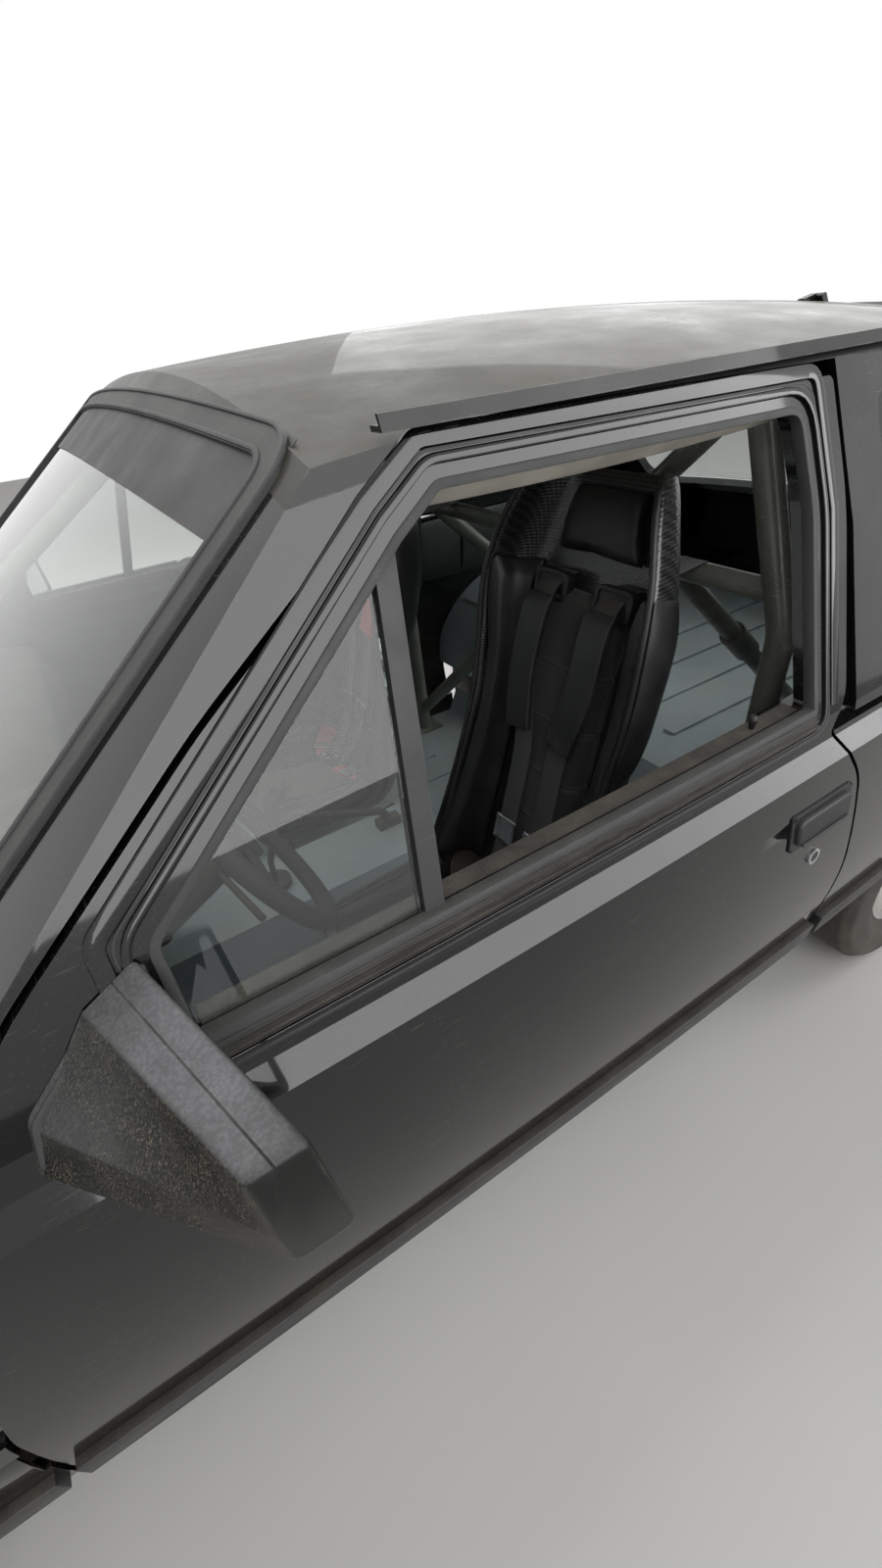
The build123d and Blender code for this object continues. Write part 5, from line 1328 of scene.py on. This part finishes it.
def build_harness(side, turn):
    """Shoulder and lap straps with pads, sliders, lap clips and a round buckle."""
    middle = turn * SEAT_Y
    red = side == "right"
    body = "body_shell"
    made = []
    for word, shift in (("near", STRAP_HALF_GAP), ("far", -STRAP_HALF_GAP)):
        y = middle + shift
        inward = middle + shift * 0.62
        chest = [(-0.497, y, 1.0225), (-0.420, y, 1.016), (-0.345, y, 1.010), (-0.303, y, 0.998),
                 (-0.276, y, 0.955), (-0.246, y, 0.850), (-0.215, inward, 0.720), (-0.182, inward, 0.590),
                 (-0.140, middle + shift * 0.5, 0.470), (-0.100, middle + shift * 0.34, 0.412),
                 (-0.070, middle + shift * 0.28, 0.399)]
        made.append((strap_form("shoulder_strap_%s_%s" % (side, word), chest, 0.048), "webbing_black"))
        pad = strap_form("shoulder_pad_%s_%s" % (side, word), [
            (-0.286, y, 0.985), (-0.268, y, 0.955), (-0.236, y, 0.850), (-0.209, y - shift * 0.25, 0.750),
        ], 0.062, 0.010)
        soften(pad, 0.003, 3, 50)
        made.append((pad, "webbing_red" if red else "pad_leather"))
        slider = strap_form("strap_slider_%s_%s" % (side, word), [
            (-0.166, middle + shift * 0.58, 0.560), (-0.158, middle + shift * 0.56, 0.535),
            (-0.150, middle + shift * 0.54, 0.510),
        ], 0.060, 0.006)
        soften(slider, 0.002, 2, 50)
        made.append((slider, "buckle_steel"))
        hip = 1 if shift > 0 else -1
        lap = [(-0.150, middle + hip * 0.176, 0.392), (-0.110, middle + hip * 0.150, 0.386),
               (-0.075, middle + hip * 0.090, 0.388), (-0.062, middle + hip * 0.040, 0.392)]
        made.append((strap_form("lap_strap_%s_%s" % (side, word), lap, 0.046, sideways=(1, 0, 0.3)),
                     "webbing_red" if red else "webbing_black"))
        clip = strap_form("lap_clip_%s_%s" % (side, word), [
            (-0.085, middle + hip * 0.105, 0.3915), (-0.080, middle + hip * 0.090, 0.3930),
            (-0.072, middle + hip * 0.070, 0.3945),
        ], 0.056, 0.006, sideways=(1, 0, 0.3))
        made.append((soften(clip, 0.002, 2, 50), "buckle_steel"))
    tilt = Matrix.Rotation(math.radians(-14), 3, "Y")
    centre = Vector((-0.062, middle, 0.401))
    rows = ((0.031, -0.006), (0.034, -0.002), (0.034, 0.006), (0.031, 0.010), (0.025, 0.011), (0.024, 0.008),
            (0.013, 0.008), (0.012, 0.0125), (0.006, 0.013))
    rings = [circle(centre + tilt @ (UP * level), tilt @ AHEAD, tilt @ ACROSS, radius, 32)
             for radius, level in rows]
    made.append((loft_rings("harness_buckle_" + side, rings), "buckle_black"))
    for part in range(4):
        angle = math.radians(45 + 90 * part)
        tip = Vector((math.cos(angle), math.sin(angle), 0))
        start, end = [centre + tilt @ (tip * reach) + UP * 0.0085 for reach in (0.014, 0.0235)]
        rib = tube_along("buckle_rib_%s_%d" % (side, part), [start, start.lerp(end, 0.5), end], 0.0022, 8)
        made.append((rib, "buckle_steel"))
    for piece, finish in made:
        done(piece, body, finish, 50)
    return made[0][0]


def build_seats():
    """Both seats: one modelled, the other a copy moved across."""
    shell = build_seat_shell()
    pads = build_seat_pads()
    details = build_seat_details()
    for side, turn in SIDES.items():
        shift = (0, turn * SEAT_Y, 0)
        first = moved(copy_piece(shell, "seat_shell_" + side), shift)
        done(first, "body_shell", "seat_shell", 60)
        for pad, finish in pads:
            twin = moved(copy_piece(pad, pad.name + "_" + side), shift)
            done(twin, "body_shell", finish, 180)
            if "back_pad" in pad.name and side == "left":
                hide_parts("seat_pads")
        for piece, finish in details:
            twin = moved(copy_piece(piece, piece.name + "_" + side), shift)
            done(twin, "body_shell", finish, 50)
        strap = build_harness(side, turn)
        if side == "left":
            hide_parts("bucket_seats")
            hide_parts("harnesses")
    for piece, _ in [(shell, ""), *pads, *details]:
        bpy.data.objects.remove(piece)


build_seats()


def inner_roof(x, y, drop):
    """Height under the roof skin."""
    return ROOF_Z - drop - y * y / ROOF_CROWN - 0.075 * (x + 0.43) ** 2


def build_roof_lining():
    """Pale lining under the roof, with a rolled edge over each door."""
    lining = shaped_sheet("roof_lining", 24, 24, lambda u, v: (
        -1.0 + 1.14 * v, (2 * u - 1) * 0.535, inner_roof(-1.0 + 1.14 * v, (2 * u - 1) * 0.535, 0.027)))
    done(thicken(lining, 0.003, 0.0, 0), "body_shell", "headliner", 60)
    for side, turn in SIDES.items():
        def place(u, v, turn=turn):
            x = -0.480 + 0.640 * v
            y = 0.520 + 0.084 * u
            top = inner_roof(x, 0.520, 0.030)
            low = 1.2335 + 0.008 * (2 * v - 1) ** 2
            fall = min(1.0, u / 0.62)
            lift = max(0.0, (u - 0.62) / 0.38)
            return (x, turn * y, top + (low - top) * fall ** 1.4 + 0.030 * lift ** 1.6)
        roll = shaped_sheet("door_head_trim_" + side, 16, 24, place)
        done(thicken(roll, 0.004, 0.0, 1), "body_shell", "headliner", 60)


def build_dark_boards():
    """Dark boards over the tail lamps and the inner sides of the load space."""
    board = shaped_sheet("rear_board", 28, 8, lambda u, v: (
        -1.996 + 0.010 * math.sin(math.pi * v), (2 * u - 1) * 0.700, 0.520 + 0.215 * v))
    done(thicken(board, 0.005, 0.0, 1), "body_shell", "dark_trim", 60)
    def inner_side(x, z, bulge):
        return flank_y(x, z) - 0.046 - 0.010 * math.sin(math.pi * bulge) - 0.012 * bulge
    for side, turn in SIDES.items():
        panel = shaped_sheet("side_board_" + side, 26, 8, lambda u, v, turn=turn: (
            -0.640 - 0.920 * u, turn * inner_side(-0.640 - 0.920 * u, 0.820, v), 0.672 + 0.196 * v))
        done(thicken(panel, 0.005, 0.0, 1), "body_shell", "dark_trim", 60)
        for index, share in enumerate((0.18, 0.5, 0.82)):
            x = -0.640 - 0.920 * share
            points = [(x, turn * (inner_side(x, 0.820, v) - 0.004), 0.690 + 0.160 * v)
                      for v in [part / 10 for part in range(11)]]
            rib = tube_along("side_board_rib_%s_%d" % (side, index), points, 0.007, 10)
            done(rib, "body_shell", "dark_trim", 60)


DIAL_X, DIAL_Z = 0.4655, 0.8480


def build_dials():
    """Three round gauges in a pod behind the steering wheel."""
    dials = ((-0.098, 0.034, 0.4), (0.0, 0.046, 1.1), (0.094, 0.034, 2.2))
    for index, (shift, radius, needle) in enumerate(dials):
        centre = Vector((DIAL_X, SEAT_Y + shift, DIAL_Z))
        rows = ((1.0, 0.018), (1.0, -0.006), (0.965, -0.010), (0.90, -0.008), (0.88, 0.000), (0.20, 0.0005),
                (0.14, -0.004), (0.10, -0.005))
        rings = [circle(centre + AHEAD * depth, ACROSS, UP, radius * share, 40) for share, depth in rows]
        done(loft_rings("dial_%d" % index, rings), "body_shell", "dash_plastic", 40)
        pointing = ACROSS * math.cos(needle) + UP * math.sin(needle)
        hand = [centre - AHEAD * 0.0025 + pointing * (share * radius) for share in (0.2, 0.5, 0.76)]
        done(tube_along("dial_needle_%d" % index, hand, 0.0009, 6), "body_shell", "webbing_red", 60)
        for tick in range(9):
            turn = math.radians(-130 + tick * 32.5) + math.pi / 2
            facing = ACROSS * math.cos(turn) + UP * math.sin(turn)
            first, last = [centre - AHEAD * 0.0012 + facing * (share * radius) for share in (0.72, 0.84)]
            line = [first, first.lerp(last, 0.5), last]
            done(tube_along("dial_mark_%d_%d" % (index, tick), line, 0.0008, 6), "body_shell", "chrome", 60)


def build_steering_details():
    """Stitched seam round the inside of the steering wheel's grip."""
    low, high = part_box("steering_wheel")
    centre = (Vector(low) + Vector(high)) / 2
    axis = Vector((-0.8793, 0, 0.4763)).normalized()
    radius = (high[1] - low[1]) / 2 - 0.0300
    points = circle(centre, ACROSS, axis.cross(ACROSS).normalized(), radius, 72)
    points.append(points[0])
    facing = [(centre - point).normalized() for point in points]
    seam = stitches("steering_wheel_stitches", points, facing, 0.009, 0.0013)
    done(seam, "steering_rim", "thread_grey", 60)


build_roof_lining()
build_dark_boards()
build_dials()
build_steering_details()


def build_hinge_covers():
    """Painted cover over each hinge pocket in the wings, leaving the hinge barrel in its slot."""
    for index, level in enumerate((0.560, 0.660)):
        low, high = level - 0.0355, level + 0.0355
        rows = [(0.7595, low, 0.002), (0.8000, low, 0.002), (0.8000, high, 0.002), (0.7570, high, 0.002)]
        flank_piece("hinge_cover_%d" % index, rows, -0.0028, 0.0002, 0.0006, SHELL, "body_paint", turns=3)


def hatch_corner(v):
    """Place where the sloping back meets the body side, at a distance down the back."""
    across = 0.70
    for _ in range(8):
        x, _, z = pane_point(HATCH_LINE, HATCH_CROWN, across, v, 0.0)
        across = flank_y(x, z)
    return x, across, z


# Front edge of the rear pillar behind the quarter window: height, place along the car
PILLAR_FRONT = [
    (0.924, -1.180), (0.940, -1.196), (0.965, -1.234), (0.990, -1.236), (1.240, -1.012), (1.320, -1.000),
]


def build_rear_pillars():
    """Outer skins of the rear pillars, between the quarter window, the body side and the tailgate."""
    def front_edge(z):
        spans = list(zip(PILLAR_FRONT, PILLAR_FRONT[1:]))
        rows = [span for span in spans if span[0][0] <= z] or spans[:1]
        (a, p), (b, q) = rows[-1]
        return p + (q - p) * (z - a) / (b - a)

    def side(u, v, first, last, edge):
        x, _, z = hatch_corner(first + (last - first) * v)
        start = edge if edge else front_edge(z)
        x = start + (x - start) * u
        return (x, flank_y(x, z) + 0.0006, z)

    def back(u, v):
        down = 0.045 + 0.690 * v
        inner = 0.5855 + 0.067 * down + 0.0035
        x, outer, z = hatch_corner(down)
        return pane_point(HATCH_LINE, HATCH_CROWN, inner + (outer - inner) * u, down, 0.0006)

    pieces = (
        ("rear_pillar_skin", lambda u, v: side(u, v, 0.045, 0.6055, None), 16),
        ("rear_pillar_foot", lambda u, v: side(u, v, 0.6055, 0.6640, -1.140), 16),
        ("rear_pillar_back", back, 8),
    )
    for name, place, count in pieces:
        for side_name, turn in SIDES.items():
            skin = shaped_sheet("%s_%s" % (name, side_name), count, 24, place)
            if turn < 0:
                turned_over(skin)
            done(thicken(skin, 0.003, 0.0, 0), "body_shell", "body_paint", 50)


def build_wheel_details():
    """Centre caps and hexagon nuts on the four wheels."""
    for name, x, turn in (("wheel_fl", FRONT_AXLE_X, 1), ("wheel_fr", FRONT_AXLE_X, -1),
                          ("wheel_rl", REAR_AXLE_X, 1), ("wheel_rr", REAR_AXLE_X, -1)):
        def ring(size, out, sides=36, spot=(0.0, 0.0), six=0, x=x, turn=turn):
            points = []
            for part in range(sides):
                angle = part / sides * math.tau
                reach = size / math.cos((angle % (math.pi / 3)) - math.pi / 6) if six else size
                points.append(Vector((x + spot[0] + reach * math.cos(angle), turn * out,
                                      TYRE_RADIUS + spot[1] + reach * math.sin(angle))))
            return points
        rows = ((0.030, 0.716), (0.030, 0.7245), (0.033, 0.7255), (0.033, 0.734), (0.030, 0.739),
                (0.021, 0.742), (0.018, 0.7405), (0.004, 0.7415))
        cap = loft_rings(name + "_cap", [ring(size, out) for size, out in rows])
        done(cap, name, "dark_trim", 50)
        for index in range(4):
            angle = math.radians(45 + 90 * index)
            spot = (0.050 * math.cos(angle), 0.050 * math.sin(angle))
            rows = ((0.0125, 0.722, 0), (0.0125, 0.7265, 0), (0.0108, 0.7280, 0), (0.0092, 0.7285, 1),
                    (0.0092, 0.7385, 1), (0.0065, 0.7410, 1))
            rings = [ring(size, out, 24, spot, six) for size, out, six in rows]
            nut = loft_rings("%s_nut_%d" % (name, index), rings)
            done(nut, name, "buckle_steel", 40)


def front_ring(name, x, y_low, y_high, z_low, z_high, width, depth, body, finish, corner=0.012, turned=1):
    """Rectangular bezel facing forwards or backwards."""
    rows = rectangle(y_low, y_high, z_low, z_high, corner)
    bezel = outline_plate(name, rounded(rows, 0.03, 5), 0.0, depth, ring=width)
    soften(bezel, min(0.0012, depth * 0.3), 2)
    placed(bezel, lambda across, out, height: (x + turned * out, across, height))
    return done(bezel, body, finish, 40)


def build_lamp_details():
    """Bezels round the lamps, front and rear."""
    for side, turn in SIDES.items():
        low, high = sorted((turn * 0.418, turn * 0.636))
        front_ring("headlamp_bezel_" + side, 2.0405, low, high, 0.600, 0.720, 0.006, 0.0052, "body_shell",
                   "chrome")
        front_ring("headlamp_inner_ring_" + side, 2.0440, low + 0.014, high - 0.014, 0.613, 0.707, 0.0025,
                   0.0018, "body_shell", "dark_trim", 0.03)
        low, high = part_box("tail_lamps")
        inner, outer = sorted((turn * 0.470, turn * (high[1] - 0.004)))
        front_ring("tail_lamp_bezel_" + side, -2.0442, inner, outer, low[2] + 0.002, high[2] - 0.002, 0.005,
                   0.0050, "body_shell", "dark_trim", 0.008, -1)


def build_plates():
    """Blank number plate with a dark rim on the rear panel."""
    rows = rectangle(-0.260, 0.260, 0.586, 0.694, 0.008)
    for name, amount, ring, low, high, finish in (
        ("rear_plate", -0.003, 0.0, 0.0, 0.0022, "plate_white"),
        ("rear_plate_rim", 0.002, 0.006, 0.0, 0.0042, "dark_trim"),
    ):
        plate = outline_plate(name, rounded(grow(rows, amount), 0.03, 4), low, high, ring=ring)
        soften(plate, 0.0006, 2)
        placed(plate, lambda across, out, height: (-2.0500 - out, across, height))
        done(plate, "body_shell", finish, 40)


def build_wipers():
    """Two parked wipers at the foot of the screen: spindle cap, sprung arm and blade."""
    ends = (((0.455, 0.715), (-0.060, 0.660)), ((-0.140, 0.715), (-0.600, 0.660)))
    for index, (foot, tip) in enumerate(ends):
        def spot(share, out):
            u = foot[0] + (tip[0] - foot[0]) * share
            v = foot[1] + (tip[1] - foot[1]) * share ** 0.7
            return Vector(pane_point(SCREEN_LINE, SCREEN_CROWN, u, v, out))
        arm = [spot(part / 16, 0.012 + 0.007 * math.sin(math.pi * part / 16)) for part in range(13)]
        blade = [spot(0.18 + 0.82 * part / 20, 0.0055) for part in range(21)]
        spine = [spot(0.30 + 0.56 * part / 14, 0.0115 + 0.003 * math.sin(math.pi * part / 14))
                 for part in range(15)]
        for word, points, radius, sides, finish in (
            ("arm", arm, 0.0038, 10, "dark_trim"), ("blade", blade, 0.0034, 8, "seal_rubber"),
            ("spine", spine, 0.0026, 8, "dark_trim"),
        ):
            done(tube_along("wiper_%s_%d" % (word, index), points, radius, sides), "body_shell", finish, 60)
        centre, normal = spot(0.0, 0.0), (spot(0.0, 0.01) - spot(0.0, 0.0)).normalized()
        rings = [circle(centre + normal * level, ACROSS, normal.cross(ACROSS).normalized(), radius, 24)
                 for radius, level in ((0.012, 0.002), (0.012, 0.010), (0.009, 0.016), (0.004, 0.018))]
        done(loft_rings("wiper_cap_%d" % index, rings), "body_shell", "dark_trim", 50)


build_hinge_covers()
build_rear_pillars()
build_wheel_details()
build_lamp_details()
build_plates()
build_wipers()


# The photograph's camera, fitted to the car: place, directions in degrees, focal length in picture heights
CAMERA_PLACE = (0.44478, 1.17440, 1.38428)
CAMERA_YAW, CAMERA_PITCH, CAMERA_ROLL = -118.991, 34.958, 6.439
CAMERA_FOCAL = 666.36 / 1600
SENSOR_HEIGHT = 36.0


def build_camera():
    """Camera where the photograph was taken from, a very wide lens close to the left door."""
    data = bpy.data.cameras.new("camera")
    data.sensor_fit = "VERTICAL"
    data.sensor_height = SENSOR_HEIGHT
    data.lens = CAMERA_FOCAL * SENSOR_HEIGHT
    data.clip_start = 0.01
    camera = bpy.data.objects.new("camera", data)
    bpy.context.scene.collection.objects.link(camera)
    yaw, pitch, roll = [math.radians(angle) for angle in (CAMERA_YAW, CAMERA_PITCH, CAMERA_ROLL)]
    forward = Vector((math.cos(yaw) * math.cos(pitch), math.sin(yaw) * math.cos(pitch), -math.sin(pitch)))
    turned = forward.to_track_quat("-Z", "Y").to_matrix() @ Matrix.Rotation(-roll, 3, "Z")
    camera.matrix_world = Matrix.Translation(CAMERA_PLACE) @ turned.to_4x4()
    bpy.context.scene.camera = camera


def add_lamp(name, place, target, size, power, mirrored=False, lighting=True):
    """Large soft lamp aimed at a point. Glossy surfaces mirror it and matt ones are lit, where asked."""
    data = bpy.data.lights.new(name, "AREA")
    data.shape = "RECTANGLE"
    data.size, data.size_y = size
    data.energy = power
    lamp = bpy.data.objects.new(name, data)
    lamp.visible_glossy = mirrored
    lamp.visible_diffuse = lighting
    lamp.visible_camera = False
    lamp.visible_transmission = False
    bpy.context.scene.collection.objects.link(lamp)
    aim = (Vector(target) - Vector(place)).to_track_quat("-Z", "Y").to_matrix().to_4x4()
    lamp.matrix_world = Matrix.Translation(place) @ aim


def build_studio():
    """Pale floor, white surroundings and soft lamps at a plain level."""
    bpy.ops.object.select_all(action="DESELECT")
    bpy.ops.mesh.primitive_plane_add(size=24, location=(0, 0, 0))
    floor = bpy.context.object
    floor.name = "studio_floor"
    bpy.ops.object.transform_apply(location=True, rotation=True, scale=True)
    material, tree, shader = new_material("studio_floor")
    cloudy = spread(tree, noise(tree, object_place(tree), 1.4, 3.0), 0.3, 0.7)
    tree.links.new(blend_colors(tree, cloudy, (0.70, 0.69, 0.67, 1), (0.74, 0.73, 0.71, 1)),
                   shader.inputs["Base Color"])
    tree.links.new(spread(tree, cloudy, 0.0, 1.0, 0.8, 0.9), shader.inputs["Roughness"])
    floor.data.materials.append(material)

    world = bpy.data.worlds.new("studio_surroundings")
    world.use_nodes = True
    bpy.context.scene.world = world
    tree = world.node_tree
    background = tree.nodes["Background"]
    rays = tree.nodes.new("ShaderNodeLightPath")
    seen = maths(tree, "MAXIMUM", rays.outputs["Is Camera Ray"], rays.outputs["Is Glossy Ray"])
    seen = maths(tree, "MAXIMUM", seen, rays.outputs["Is Transmission Ray"])
    tree.links.new(spread(tree, seen, 0.0, 1.0, 0.34, 1.0), background.inputs["Strength"])
    background.inputs["Color"].default_value = (1, 1, 1, 1)

    add_lamp("key_lamp", (1.6, 3.6, 4.2), (0.0, 0.2, 0.8), (3.2, 3.2), 90)
    add_lamp("rear_lamp", (-4.0, 2.0, 3.6), (-0.8, 0.0, 0.8), (2.6, 2.6), 50)
    add_lamp("far_lamp", (1.0, -4.4, 3.4), (0.0, 0.0, 0.8), (3.0, 2.4), 50)
    add_lamp("overhead_lamp", (0.0, -1.9, 4.4), (0.0, -1.6, 0.0), (4.6, 3.2), 110, mirrored=True)
    for word, x, turn, power in (("left", -3.0, 1, 760), ("right", -10.0, -1, 260)):
        add_lamp("side_reflector_" + word, (x, 7.6 * turn, 4.1), (-0.6, 0.8 * turn, 1.0), (13.0, 4.4), power,
                 mirrored=True, lighting=False)
    bpy.context.scene.view_settings.view_transform = "Standard"


build_camera()
build_studio()

bpy.context.view_layer.update()
